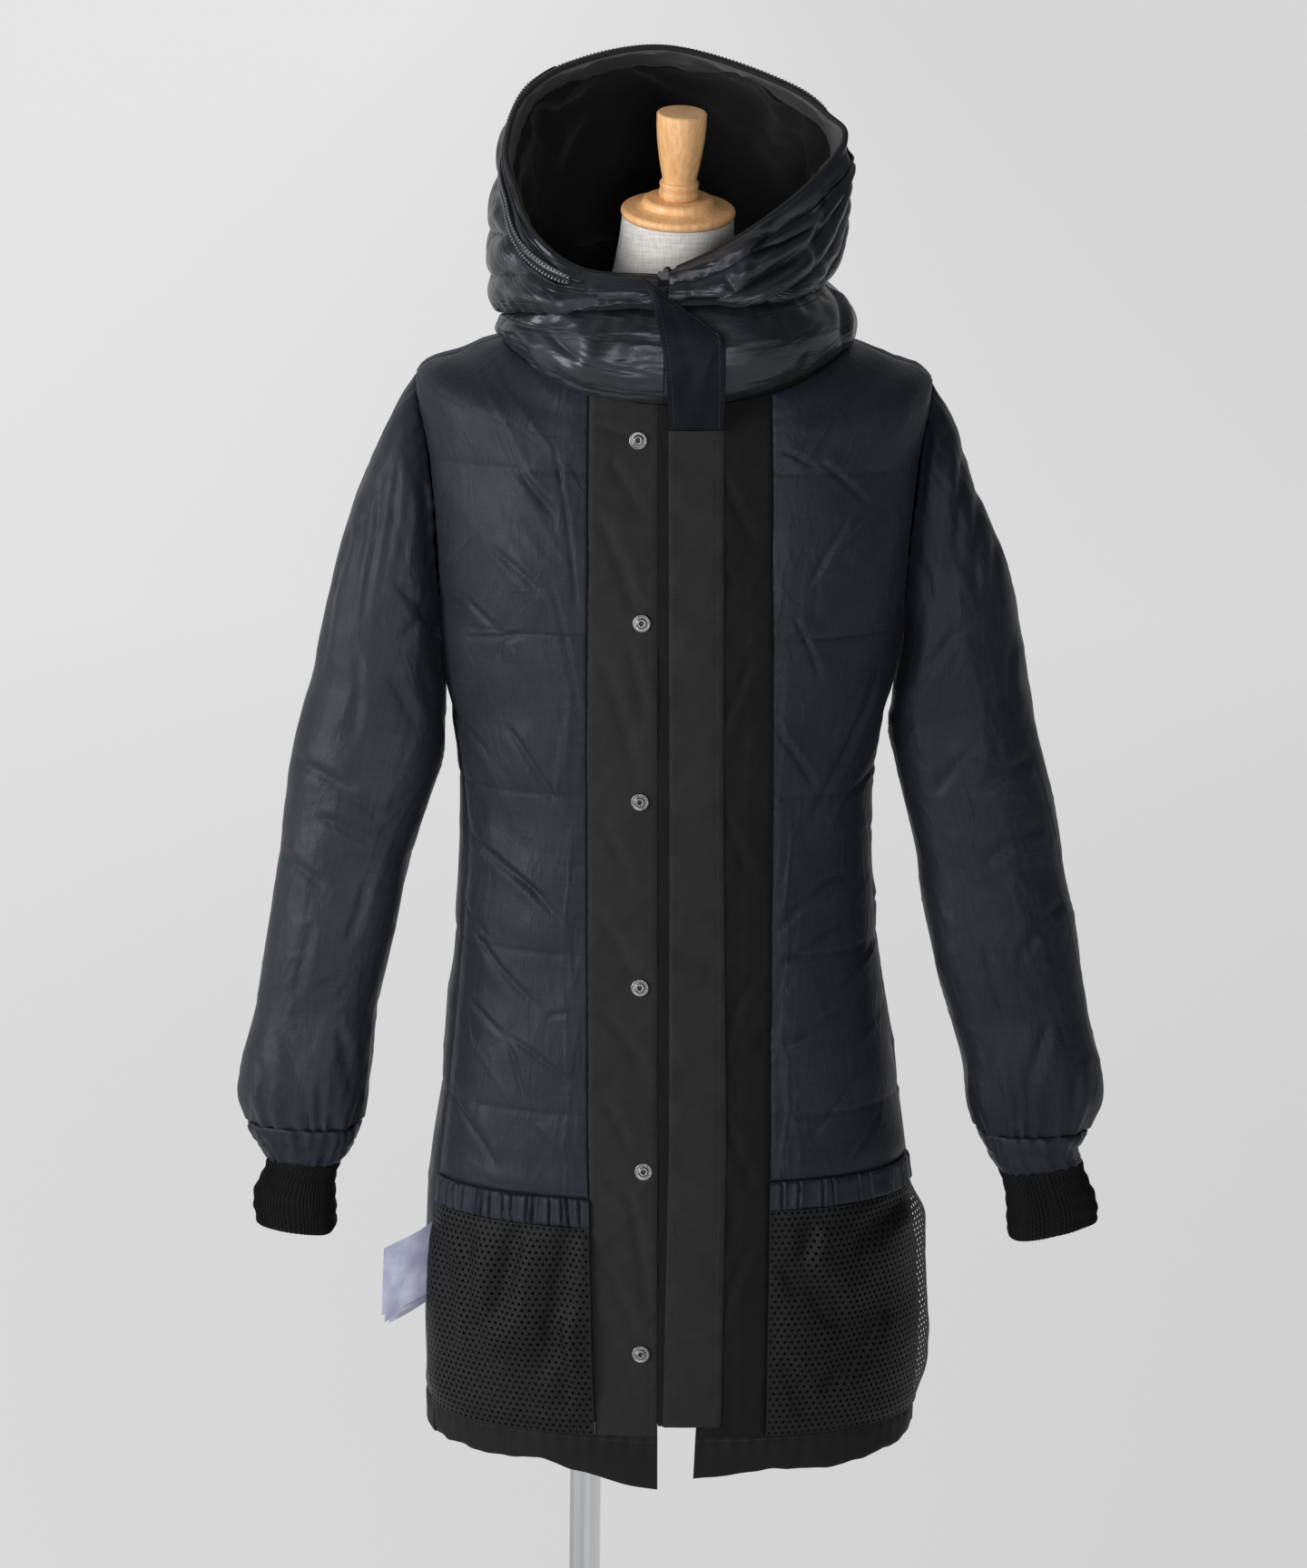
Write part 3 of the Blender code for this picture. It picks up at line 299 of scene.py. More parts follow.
def cutSize(piece, points, closed=False):
    # the cut of what shows, measured on the grid before it was creased
    grid = np.concatenate((points, points[:, :1]), 1) if closed else points
    across, along = runLengths(grid, 1)[:, -1], runLengths(grid, 0)[-1]


def lathe(name, profile, steps, matrix, finish, nodes=()):
    # the profile runs down the outside, from the axis at the top to the axis at the foot
    turns = np.linspace(0, 2 * math.pi, steps, endpoint=False)
    points = [(radius * math.cos(t), radius * math.sin(t), height) for radius, height in profile for t in turns]
    mesh = newMesh(name, points, tubeFaces(len(profile), steps, turned=True), 35, matrix)
    return addPiece(name, mesh, finish, nodes)


def roundedProfile(profile, radius, steps):
    points = [Vector(p) for p in profile]
    out = [points[0]]
    for before, corner, after in zip(points, points[1:], points[2:]):
        into, outOf = before - corner, after - corner
        cut = min(radius, into.length * 0.4, outOf.length * 0.4)
        a, b = corner + into.normalized() * cut, corner + outOf.normalized() * cut
        for k in range(steps + 1):
            t = k / steps
            out.append(a * (1 - t) ** 2 + corner * 2 * t * (1 - t) + b * t * t)
    out.append(points[-1])
    return [(p.x, p.y) for p in out]


stitch = {"length": 0.0026, "space": 0.0007, "thick": 0.00045, "rise": 0.0003}


def stitchRun(name, lines, finish):
    # short stitches along each line of points and normals
    points, faces = [], []
    length, thick = stitch["length"], stitch["thick"]
    for path, normals in lines:
        run = runLengths(path[None], 1)[0]
        for start in np.arange(length / 2, run[-1] - length, length + stitch["space"]):
            ends = [[pointsAlong(source, run, t) for source in (path, normals)]
                    for t in (start, start + length / 2, start + length)]
            side = np.cross(ends[2][0] - ends[0][0], ends[1][1])
            side /= np.linalg.norm(side)
            faces += tubeFaces(3, 4, len(points)) + tubeEnds(3, 4, len(points))
            for (place, normal), lift, wide in zip(ends, (0.0, stitch["rise"], 0.0), (0.55, 1.0, 0.55)):
                for a, b in ((-1, -0.4), (1, -0.4), (0.6, 1), (-0.6, 1)):
                    points.append(place + side * a * thick * wide / 2 + normal * (lift + b * thick * wide / 2))
    return addPiece(name, newMesh(name, (np.array(points) + (coatX, 0, 0)).tolist(), faces), finish)


def gridLine(points, normals, across=None, along=None):
    # the grid's row or column nearest to a share of its width or length
    if across is not None:
        j = int(round(across * (points.shape[1] - 1)))
        return points[:, j], normals[:, j]
    i = int(round(along * (points.shape[0] - 1)))
    return points[i], normals[i]


# finishes

def newFinish(name, colour, roughness, metallic=0.0, **sockets):
    material = bpy.data.materials.new(name)
    material.use_nodes = True
    shader = material.node_tree.nodes["Principled BSDF"]
    shader.inputs["Base Color"].default_value = (*colour, 1)
    shader.inputs["Roughness"].default_value = roughness
    shader.inputs["Metallic"].default_value = metallic
    for socket, value in sockets.items():
        shader.inputs[socket.replace("_", " ")].default_value = value
    return material, material.node_tree, shader


def addNode(tree, kind, inputs=(), **settings):
    node = tree.nodes.new(kind)
    for key, value in settings.items():
        setattr(node, key, value)
    for key, value in dict(inputs).items():
        if isinstance(value, bpy.types.NodeSocket):
            tree.links.new(value, node.inputs[key])
        else:
            node.inputs[key].default_value = value
    return node


def clothPlace(tree, scale=(1, 1, 1), turn=0.0):
    place = addNode(tree, "ShaderNodeUVMap", uv_map="cut")
    return addNode(tree, "ShaderNodeMapping", {"Vector": place.outputs["UV"], "Scale": scale,
                                               "Rotation": (0, 0, math.radians(turn))}).outputs["Vector"]


def objectPlace(tree, scale=(1, 1, 1)):
    place = addNode(tree, "ShaderNodeTexCoord").outputs["Object"]
    return addNode(tree, "ShaderNodeMapping", {"Vector": place, "Scale": scale}).outputs["Vector"]


def noise(tree, place, scale, detail=3.0, roughness=0.5, distortion=0.0):
    return addNode(tree, "ShaderNodeTexNoise", {"Vector": place, "Scale": scale, "Detail": detail,
                                                "Roughness": roughness, "Distortion": distortion}).outputs["Fac"]


def ridges(tree, place, scale, detail, distortion):
    # soft creases: the noise folded about its middle
    value = noise(tree, place, scale, detail, 0.5, distortion)
    off = addNode(tree, "ShaderNodeMath", {0: value, 1: 0.5}, operation="SUBTRACT").outputs["Value"]
    off = addNode(tree, "ShaderNodeMath", {0: off}, operation="ABSOLUTE").outputs["Value"]
    return remap(tree, off, 0.0, 0.16, 1.0, 0.0)


def remap(tree, value, low, high, toLow, toHigh):
    return addNode(tree, "ShaderNodeMapRange", {"Value": value, "From Min": low, "From Max": high,
                                                "To Min": toLow, "To Max": toHigh}).outputs["Result"]


def mixColour(tree, factor, a, b, mode="MIX"):
    mix = addNode(tree, "ShaderNodeMix", data_type="RGBA", blend_type=mode)
    for socket, value in ((0, factor), (6, a), (7, b)):
        if isinstance(value, bpy.types.NodeSocket):
            tree.links.new(value, mix.inputs[socket])
        else:
            mix.inputs[socket].default_value = value if socket == 0 else (*value, 1)
    return mix.outputs[2]


def blend(tree, value, low, high, a, b, most=1):
    # from colour a to colour b while the value goes from low to high
    return mixColour(tree, remap(tree, value, low, high, 0, most), a, b)


def addBumps(tree, shader, heights):
    # heights: pairs of a value and its depth in metres
    normal = None
    for value, depth in heights:
        inputs = {"Height": value, "Distance": depth, "Strength": 1.0}
        if normal is not None:
            inputs["Normal"] = normal
        normal = addNode(tree, "ShaderNodeBump", inputs).outputs["Normal"]
    tree.links.new(normal, shader.inputs["Normal"])


def threads(tree, place, perMetre, band):
    wave = addNode(tree, "ShaderNodeTexWave", {"Vector": place, "Scale": perMetre / 20.0 * math.pi,
                                               "Distortion": 0.0},
                   wave_type="BANDS", bands_direction=band, wave_profile="SIN")
    return wave.outputs["Fac"]


liningLook = {"colour": (0.0163, 0.0177, 0.0248), "shade": (0.012, 0.0132, 0.019), "roughness": (0.44, 0.58),
              "gloss": 0.2, "threadsPerMetre": 1600, "crumple": 0.0005, "wrinkle": 0.0003}


# dim scales the colour and gloss: the finishes below use it for lit and shaded copies of the lining, which are
# painted light and shade
def liningFinish(name="navyLining", dim=1.0, crumpled=1.0):
    material, tree, shader = newFinish(name, liningLook["colour"], 0.46, Sheen_Weight=0.03,
                                       Sheen_Roughness=0.35, Specular_IOR_Level=liningLook["gloss"] * dim)
    shader.inputs["Sheen Tint"].default_value = (0.62, 0.66, 0.85, 1)
    shader.inputs["Specular Tint"].default_value = (0.86, 0.9, 1.0, 1)
    place = clothPlace(tree)
    patches = noise(tree, place, 9.0, 3.0)
    cloth = blend(tree, patches, 0.35, 0.65, [c * dim for c in liningLook["shade"]],
                  [c * dim for c in liningLook["colour"]])
    slubs = noise(tree, clothPlace(tree, (1, 0.03, 1)), 800.0, 2.0)
    cross = noise(tree, clothPlace(tree, (0.03, 1, 1)), 700.0, 2.0)
    for yarn, change in ((slubs, 0.13), (cross, 0.1)):
        light = remap(tree, yarn, 0.35, 0.65, 1 - change, 1 + change)
        grey = addNode(tree, "ShaderNodeCombineColor", {0: light, 1: light, 2: light}).outputs["Color"]
        cloth = mixColour(tree, 1.0, cloth, grey, "MULTIPLY")
    tree.links.new(cloth, shader.inputs["Base Color"])
    tree.links.new(remap(tree, noise(tree, place, 26.0, 4.0), 0.3, 0.7, *liningLook["roughness"]),
                   shader.inputs["Roughness"])
    soft = ridges(tree, clothPlace(tree, (1.0, 0.5, 1), 42), 12.0, 3.0, 0.8)
    fine = ridges(tree, clothPlace(tree, (1.0, 0.5, 1), -35), 34.0, 3.0, 1.0)
    warp = threads(tree, place, liningLook["threadsPerMetre"], "X")
    weft = threads(tree, place, liningLook["threadsPerMetre"] * 0.8, "Y")
    grain = noise(tree, place, 150.0, 4.0, 0.6)
    addBumps(tree, shader, [(soft, liningLook["crumple"] * crumpled), (fine, liningLook["wrinkle"] * crumpled),
                            (grain, 0.00012), (warp, 0.00003), (weft, 0.00003)])
    return material


twillLook = {"colour": (0.015, 0.0151, 0.0154), "light": (0.02, 0.0201, 0.0206), "threadsPerMetre": 900}


# dim scales the colour and gloss: among its copies below are a shaded one (painted shade) and a lit one (painted
# light)
def twillFinish(name="blackTwill", dim=1.0):
    colour = [c * dim for c in twillLook["colour"]]
    material, tree, shader = newFinish(name, colour, 0.72, Sheen_Weight=0.04, Sheen_Roughness=0.5,
                                       Specular_IOR_Level=0.14 * dim)
    shader.inputs["Sheen Tint"].default_value = (0.8, 0.8, 0.82, 1)
    ribs = threads(tree, clothPlace(tree, turn=32), twillLook["threadsPerMetre"], "X")
    patches = noise(tree, clothPlace(tree), 14.0, 4.0)
    tint = blend(tree, patches, 0.3, 0.7, colour, [c * dim for c in twillLook["light"]])
    tree.links.new(blend(tree, ribs, 0, 1, tint, (0.004, 0.004, 0.004), 0.35), shader.inputs["Base Color"])
    tree.links.new(remap(tree, noise(tree, clothPlace(tree), 60.0), 0.3, 0.7, 0.64, 0.8),
                   shader.inputs["Roughness"])
    soft = noise(tree, clothPlace(tree, (1, 0.35, 1)), 30.0, 3.0)
    addBumps(tree, shader, [(soft, 0.0005), (ribs, 0.00008)])
    return material


nylonLook = {"colour": (0.011, 0.0122, 0.0162), "shade": (0.007, 0.0077, 0.0102), "roughness": (0.3, 0.42),
             "gloss": 0.5, "wrinkle": 0.00014, "pleat": 0.00042}


def nylonFinish():
    material, tree, shader = newFinish("shinyNylon", nylonLook["colour"], 0.32,
                                       Specular_IOR_Level=nylonLook["gloss"], Sheen_Weight=0.02)
    shader.inputs["Specular Tint"].default_value = (0.86, 0.91, 1.0, 1)
    place = clothPlace(tree)
    tree.links.new(blend(tree, noise(tree, place, 16.0), 0.35, 0.65, nylonLook["shade"], nylonLook["colour"]),
                   shader.inputs["Base Color"])
    tree.links.new(remap(tree, noise(tree, place, 40.0, 4.0), 0.3, 0.7, *nylonLook["roughness"]),
                   shader.inputs["Roughness"])
    fine = ridges(tree, clothPlace(tree, (0.35, 1.0, 1), 10), 36.0, 2.0, 0.8)
    pleats = ridges(tree, clothPlace(tree, (0.16, 1.0, 1), 5), 95.0, 2.0, 0.5)
    crinkle = noise(tree, place, 240.0, 3.0, 0.55, 0.8)
    weave = threads(tree, place, 1700, "X")
    addBumps(tree, shader, [(fine, nylonLook["wrinkle"]), (pleats, nylonLook["pleat"]), (crinkle, 0.00006),
                            (weave, 0.00002)])
    return material


def mattFinish(name, colour, light, scale, depth):
    # brushed or knitted black cloth
    material, tree, shader = newFinish(name, colour, 0.9, Sheen_Weight=0.05, Sheen_Roughness=0.6,
                                       Specular_IOR_Level=0.12)
    place = clothPlace(tree)
    fuzz = noise(tree, place, scale, 5.0, 0.65)
    patches = noise(tree, place, 11.0, 3.0)
    base = blend(tree, patches, 0.3, 0.7, colour, light)
    tree.links.new(blend(tree, fuzz, 0.4, 0.75, base, (0.016, 0.016, 0.016), 0.4), shader.inputs["Base Color"])
    addBumps(tree, shader, [(patches, 0.0012), (fuzz, depth)])
    return material


def knitFinish():
    material, tree, shader = newFinish("ribKnit", (0.006, 0.006, 0.0062), 0.92, Sheen_Weight=0.04,
                                       Sheen_Roughness=0.5, Specular_IOR_Level=0.12)
    place = clothPlace(tree)
    loops = threads(tree, clothPlace(tree, turn=28), 620, "Y")
    mirrored = threads(tree, clothPlace(tree, turn=-28), 620, "Y")
    both = addNode(tree, "ShaderNodeMath", {0: loops, 1: mirrored}, operation="MULTIPLY").outputs["Value"]
    tree.links.new(mixColour(tree, both, (0.003, 0.003, 0.0032), (0.0085, 0.0085, 0.009)),
                   shader.inputs["Base Color"])
    addBumps(tree, shader, [(noise(tree, place, 60.0), 0.0004), (both, 0.0002)])
    return material


def netFinish():
    material, tree, shader = newFinish("pocketNet", (0.005, 0.0055, 0.0065), 0.55, Sheen_Weight=0.03,
                                       Sheen_Roughness=0.4, Specular_IOR_Level=0.18)
    place = objectPlace(tree)
    yarn = addNode(tree, "ShaderNodeTexVoronoi", {"Vector": place, "Scale": 1500.0}).outputs["Distance"]
    tree.links.new(mixColour(tree, remap(tree, yarn, 0, 0.6, 1, 0), (0.0035, 0.0038, 0.0045),
                             (0.01, 0.011, 0.0125)), shader.inputs["Base Color"])
    addBumps(tree, shader, [(yarn, 0.0002)])
    return material


def woodFinish(name, light=1.0):
    material, tree, shader = newFinish(name, (0.7, 0.46, 0.25), 0.42, Coat_Weight=0.12, Coat_Roughness=0.3,
                                       Specular_IOR_Level=0.4)
    place = objectPlace(tree, (1, 1, 0.045))
    rays = noise(tree, place, 330.0, 5.0, 0.6, 0.25)
    broad = noise(tree, place, 60.0, 3.0, 0.5, 0.4)
    pores = noise(tree, objectPlace(tree, (1, 1, 0.1)), 1500.0, 2.0, 0.7)
    tone = blend(tree, broad, 0.32, 0.68, (0.7, 0.385, 0.165), (0.82, 0.5, 0.245))
    tone = blend(tree, rays, 0.42, 0.68, tone, (0.58, 0.29, 0.11), 0.75)
    tone = blend(tree, pores, 0.6, 0.74, tone, (0.4, 0.18, 0.065), 0.55)
    # light above 1 brightens the whole wood: painted light on the cap
    tree.links.new(mixColour(tree, 1.0, tone, (light, light, light), "MULTIPLY"), shader.inputs["Base Color"])
    tree.links.new(remap(tree, rays, 0.3, 0.7, 0.36, 0.52), shader.inputs["Roughness"])
    addBumps(tree, shader, [(rays, 0.00008), (pores, 0.00006)])
    return material


def linenFinish():
    material, tree, shader = newFinish("linen", (0.6, 0.57, 0.54), 0.9, Sheen_Weight=0.2,
                                       Sheen_Roughness=0.6, Specular_IOR_Level=0.25)
    warp = noise(tree, objectPlace(tree, (1, 1, 0.06)), 620.0, 3.0, 0.6)
    weft = noise(tree, objectPlace(tree, (0.07, 0.07, 1)), 620.0, 3.0, 0.6)
    both = addNode(tree, "ShaderNodeMath", {0: warp, 1: weft}, operation="ADD").outputs["Value"]
    tree.links.new(blend(tree, both, 0.75, 1.25, (0.56, 0.53, 0.5), (0.8, 0.78, 0.75)), shader.inputs["Base Color"])
    addBumps(tree, shader, [(both, 0.0003)])
    return material


def metalFinish(name, colour, roughness, spotty, reflectionStripes=0.92):
    material, tree, shader = newFinish(name, colour, roughness, 1.0)
    # unless spotty, the noise is stretched upright into darker stripes: painted reflections on the chrome
    place = objectPlace(tree, (1, 1, 1 if spotty else 0.01))
    spots = noise(tree, place, 900.0 if spotty else 110.0, 2.0, 0.5)
    dark = [c * (0.45 if spotty else reflectionStripes) for c in colour]
    tree.links.new(blend(tree, spots, 0.35, 0.65, dark, colour), shader.inputs["Base Color"])
    tree.links.new(remap(tree, spots, 0.3, 0.7, roughness * 0.8, roughness * 1.35), shader.inputs["Roughness"])
    addBumps(tree, shader, [(spots, 0.00004)])
    return material


def plasticFinish(name, colour, roughness):
    material, tree, shader = newFinish(name, colour, roughness, Specular_IOR_Level=0.55)
    speck = noise(tree, objectPlace(tree), 1400.0, 3.0)
    tree.links.new(remap(tree, speck, 0.3, 0.7, roughness * 0.8, roughness * 1.3), shader.inputs["Roughness"])
    tree.links.new(mixColour(tree, speck, colour, [c * 1.5 for c in colour]), shader.inputs["Base Color"])
    addBumps(tree, shader, [(speck, 0.00004)])
    return material


def labelFinish():
    material, tree, shader = newFinish("labelCloth", (0.52, 0.53, 0.7), 0.45, Sheen_Weight=0.3,
                                       Specular_IOR_Level=0.5)
    place = clothPlace(tree)
    weave = threads(tree, place, 1500, "X")
    cloudy = noise(tree, place, 60.0, 4.0)
    # the colour is darkened to stand in for both the label's print and painted shade
    tree.links.new(blend(tree, cloudy, 0.3, 0.7, (0.26, 0.265, 0.38), (0.4, 0.41, 0.53)),
                   shader.inputs["Base Color"])
    addBumps(tree, shader, [(cloudy, 0.0008), (weave, 0.00004)])
    return material


# each with the name of its slot
finishes = {
    "lining": (liningFinish(), "navy_lining"),
    # painted shade: a darker copy of the lining, with fewer wrinkles, for the flap's top piece
    "liningShaded": (liningFinish("navyLiningShaded", 0.45, 0.15), "navy_lining"),
    # painted light: the wearer's right sleeve gets a brighter copy of the lining and the left sleeve a darker one,
    # for the key light from that side
    "sleeve_right": (liningFinish("sleeveLiningLitRight", 1.18), "navy_lining"),
    "sleeve_left": (liningFinish("sleeveLiningShadedLeft", 0.88), "navy_lining"),
    "twill": (twillFinish(), "black_twill"),
    # painted shade: a darker copy of the black twill, for the facing in the flap's shadow, the panels behind the
    # nets, the placket behind the flap and the neck's zip tape
    "twillShaded": (twillFinish("blackTwillShaded", 0.5), "black_twill"),
    "hem": (twillFinish("hemTwill", 0.66), "black_twill"),
    # painted light: a copy of the black twill 3.2 times as bright, for the lit band inside the hood
    "band": (twillFinish("hoodBandLit", 3.2), "black_twill"),
    "nylon": (nylonFinish(), "shiny_nylon"),
    "hoodCloth": (mattFinish("hoodCloth", (0.0046, 0.0046, 0.0048), (0.0095, 0.0095, 0.0098), 700.0, 0.0003),
                  "hood_cloth"),
    "knit": (knitFinish(), "rib_knit"),
    "net": (netFinish(), "pocket_net"),
    "wood": (woodFinish("turnedWood"), "turned_wood"),
    # painted light: the cap's wood is 1.22 times as bright as the knob's, for the light on its top
    "capWoodLit": (woodFinish("capWoodLit", 1.22), "turned_wood"),
    "linen": (linenFinish(), "linen"),
    "chrome": (metalFinish("chrome", (0.66, 0.67, 0.69), 0.1, False), "chrome"),
    # painted reflection: the pole's chrome has strong dark upright stripes
    "poleChromeReflections": (metalFinish("poleChromeReflections", (0.7, 0.71, 0.73), 0.1, False, 0.66), "chrome"),
    "snap": (metalFinish("antiqueSilver", (0.3, 0.3, 0.305), 0.36, True), "snap_metal"),
    "teeth": (plasticFinish("zipTeeth", (0.09, 0.09, 0.094), 0.3), "zip_plastic"),
    "plastic": (plasticFinish("zipPlastic", (0.005, 0.005, 0.005), 0.42), "zip_plastic"),
    "label": (labelFinish(), "label_cloth"),
    "thread": (plasticFinish("blackThread", (0.02, 0.02, 0.021), 0.55), "black_twill"),
}
print("finishes ready")


# camera and light

view = {"place": (0.0516, -4.2, 1.8), "down": 11.0, "roll": 0.73, "lens": 139.05, "sensor": 36.0}
camera = addObject("camera", bpy.data.cameras.new("camera"))
camera.data.sensor_fit = "HORIZONTAL"
camera.data.sensor_width = view["sensor"]
camera.data.lens = view["lens"]
camera.matrix_world = (Matrix.Translation(view["place"]) @ Matrix.Rotation(math.radians(90 - view["down"]), 4, "X")
                       @ Matrix.Rotation(math.radians(view["roll"]), 4, "Z"))
bpy.context.scene.camera = camera
bpy.context.scene.view_settings.view_transform = "Standard"

studio = {
    "key": {"place": (-3.3, -2.2, 1.75), "aim": (0.0, 0, 1.0), "size": 2.0, "power": 126},
    "front": {"place": (0.5, -4.3, 1.35), "aim": (0.05, 0, 1.2), "size": 1.4, "power": 50},
    "lampColour": (1.0, 0.995, 0.99),
    # the room's brightness towards the horizon, and what is added upwards, backwards and to the side
    "room": 0.4, "upwards": -0.12, "backwards": 0.24, "sideways": -0.26, "least": 0.05,
    # the floor's own colour, and its glow near by, far off, and how much less of it to the right
    "floor": (0.25, 0.25, 0.249), "nearGlow": 0.52, "farGlow": 0.628, "glowAcross": -0.028,
}


def addLight(name, place, aim, size, power):
    light = bpy.data.lights.new(name, "AREA")
    light.size, light.energy, light.color = size, power, studio["lampColour"]
    lamp = addObject(name, light)
    lamp.location = place
    lamp.rotation_euler = (Vector(aim) - Vector(place)).to_track_quat("-Z", "Y").to_euler()


for lampName in ("key", "front"):
    addLight(lampName, **studio[lampName])
world = bpy.data.worlds.new("room")
world.use_nodes = True
roomTree = world.node_tree
towards = addNode(roomTree, "ShaderNodeTexCoord").outputs["Generated"]
towards = addNode(roomTree, "ShaderNodeSeparateXYZ", {0: towards})
bright = studio["room"]
for axis, amount in (("X", studio["sideways"]), ("Y", studio["backwards"]), ("Z", studio["upwards"])):
    bright = addNode(roomTree, "ShaderNodeMath", {0: towards.outputs[axis], 1: amount, 2: bright},
                     operation="MULTIPLY_ADD").outputs["Value"]
bright = addNode(roomTree, "ShaderNodeMath", {0: bright, 1: studio["least"]}, operation="MAXIMUM").outputs["Value"]
roomTree.links.new(bright, roomTree.nodes["Background"].inputs["Strength"])
roomTree.nodes["Background"].inputs["Color"].default_value = (1, 1, 1, 1)
bpy.context.scene.world = world

floorFinish, floorTree, floorShader = newFinish("paleFloor", studio["floor"], 0.85, Specular_IOR_Level=0.2)
floorTone = noise(floorTree, objectPlace(floorTree), 1.3, 4.0)
floorTree.links.new(mixColour(floorTree, floorTone, [c * 0.985 for c in studio["floor"]], studio["floor"]),
                    floorShader.inputs["Base Color"])
floorShader.inputs["Emission Color"].default_value = (1, 1, 1, 1)
floorPlace = addNode(floorTree, "ShaderNodeSeparateXYZ", {0: objectPlace(floorTree)})
glow = remap(floorTree, floorPlace.outputs["Y"], 0.5, 7.0, studio["nearGlow"], studio["farGlow"])
glow = addNode(floorTree, "ShaderNodeMath", {0: remap(floorTree, floorPlace.outputs["X"], -2, 2, -2, 2),
                                             1: studio["glowAcross"], 2: glow}, operation="MULTIPLY_ADD")
floorTree.links.new(glow.outputs["Value"], floorShader.inputs["Emission Strength"])
floorMesh = newMesh("floor", [(-60, -60, 0), (60, -60, 0), (60, 60, 0), (-60, 60, 0)], [(0, 1, 2, 3)])
floorMesh.materials.append(floorFinish)
floor = addObject("floor", floorMesh)
floor.location.z = -0.0005
print("camera and lights ready")


# body of the coat

def levelsBetween(low, high, spacing):
    ends = np.interp([low, high], levelSteps, frontHeights)
    return levelAt(np.linspace(ends[0], ends[1], max(3, int(round((ends[1] - ends[0]) / spacing)) + 1)))


def panelLevels(low, spacing):
    under, top, neck = coatShape["underarm"], coatShape["shoulder"], coatShape["neckline"]
    turns = np.linspace(0, math.pi, int(0.19 / spacing))
    arm = under + (top - under) * (1 - np.cos(turns)) / 2
    above = np.linspace(top, neck, int(0.078 / spacing))
    return np.concatenate((levelsBetween(low, under, spacing)[:-1], arm, above[1:]))


def evenColumns(points, count):
    out = np.empty((len(points), count, 3))
    for row, line in enumerate(points):
        run = runLengths(line[None], 1)[0]
        out[row] = pointsAlong(line, run, np.linspace(0, run[-1], count))
    return out


def bodyPoints(levels, start, end, spacing, face=coatFace):
    share = np.linspace(0, 1, 481)
    angles = start[:, None] + (end - start)[:, None] * share
    fine = face(angles, np.repeat(levels[:, None], len(share), 1))
    columns = max(3, int(round(runLengths(fine, 1)[:, -1].max() / spacing)) + 1)
    return evenColumns(fine, columns)


def sidePanel(side, levels, spacing):
    # from the facing's seam to the side seam
    return bodyPoints(levels, edgeAngle(f"seam{side.title()}", levels), sideAngle(side, levels), spacing)


def awayFromMiddle(points):
    middle = points.mean((0, 1)) * (0, 0, 1)
    return (points - middle) * (1, 1, 0)


def setBack(points, closed=False):
    def pull(edge, inner):
        step = inner - edge
        return edge + step / np.maximum(np.linalg.norm(step, axis=-1, keepdims=True), 1e-9) * trim

    points = points.copy()
    points[0], points[-1] = pull(points[0], points[1]), pull(points[-1], points[-2])
    if not closed:
        points[:, 0], points[:, -1] = pull(points[:, 0], points[:, 1]), pull(points[:, -1], points[:, -2])
    return points


def edgeDistances(points):
    across, along = runLengths(points, 1), runLengths(points, 0)
    return across, across[:, -1:] - across, along, along[-1:] - along


def shellPiece(name, points, wall, relief, finish, nodes, lift=0.0, closed=False, outward=None, least=0.001,
               sewn=None, look=None):
    points = setBack(points, closed)
    normals = gridNormals(points, awayFromMiddle(points) if outward is None else outward, closed)
    relief = np.maximum(relief, least - wall)
    outer = points + normals * (lift + relief)[..., None]
    if look is not None:
        outer = puff(outer, normals, sewn, look)
    inner = points + normals * (lift - wall)
    return buildShell(name, outer, inner, finish, nodes, closed), outer, normals


def clothPiece(name, points, wall, relief, finish, nodes, restsOn, held="hung", closed=False, **more):
    piece, outer, normals = shellPiece(name, points, wall, relief, finish, nodes, closed=closed, **more)
    cutSize(piece, points, closed)
    return outer, normals


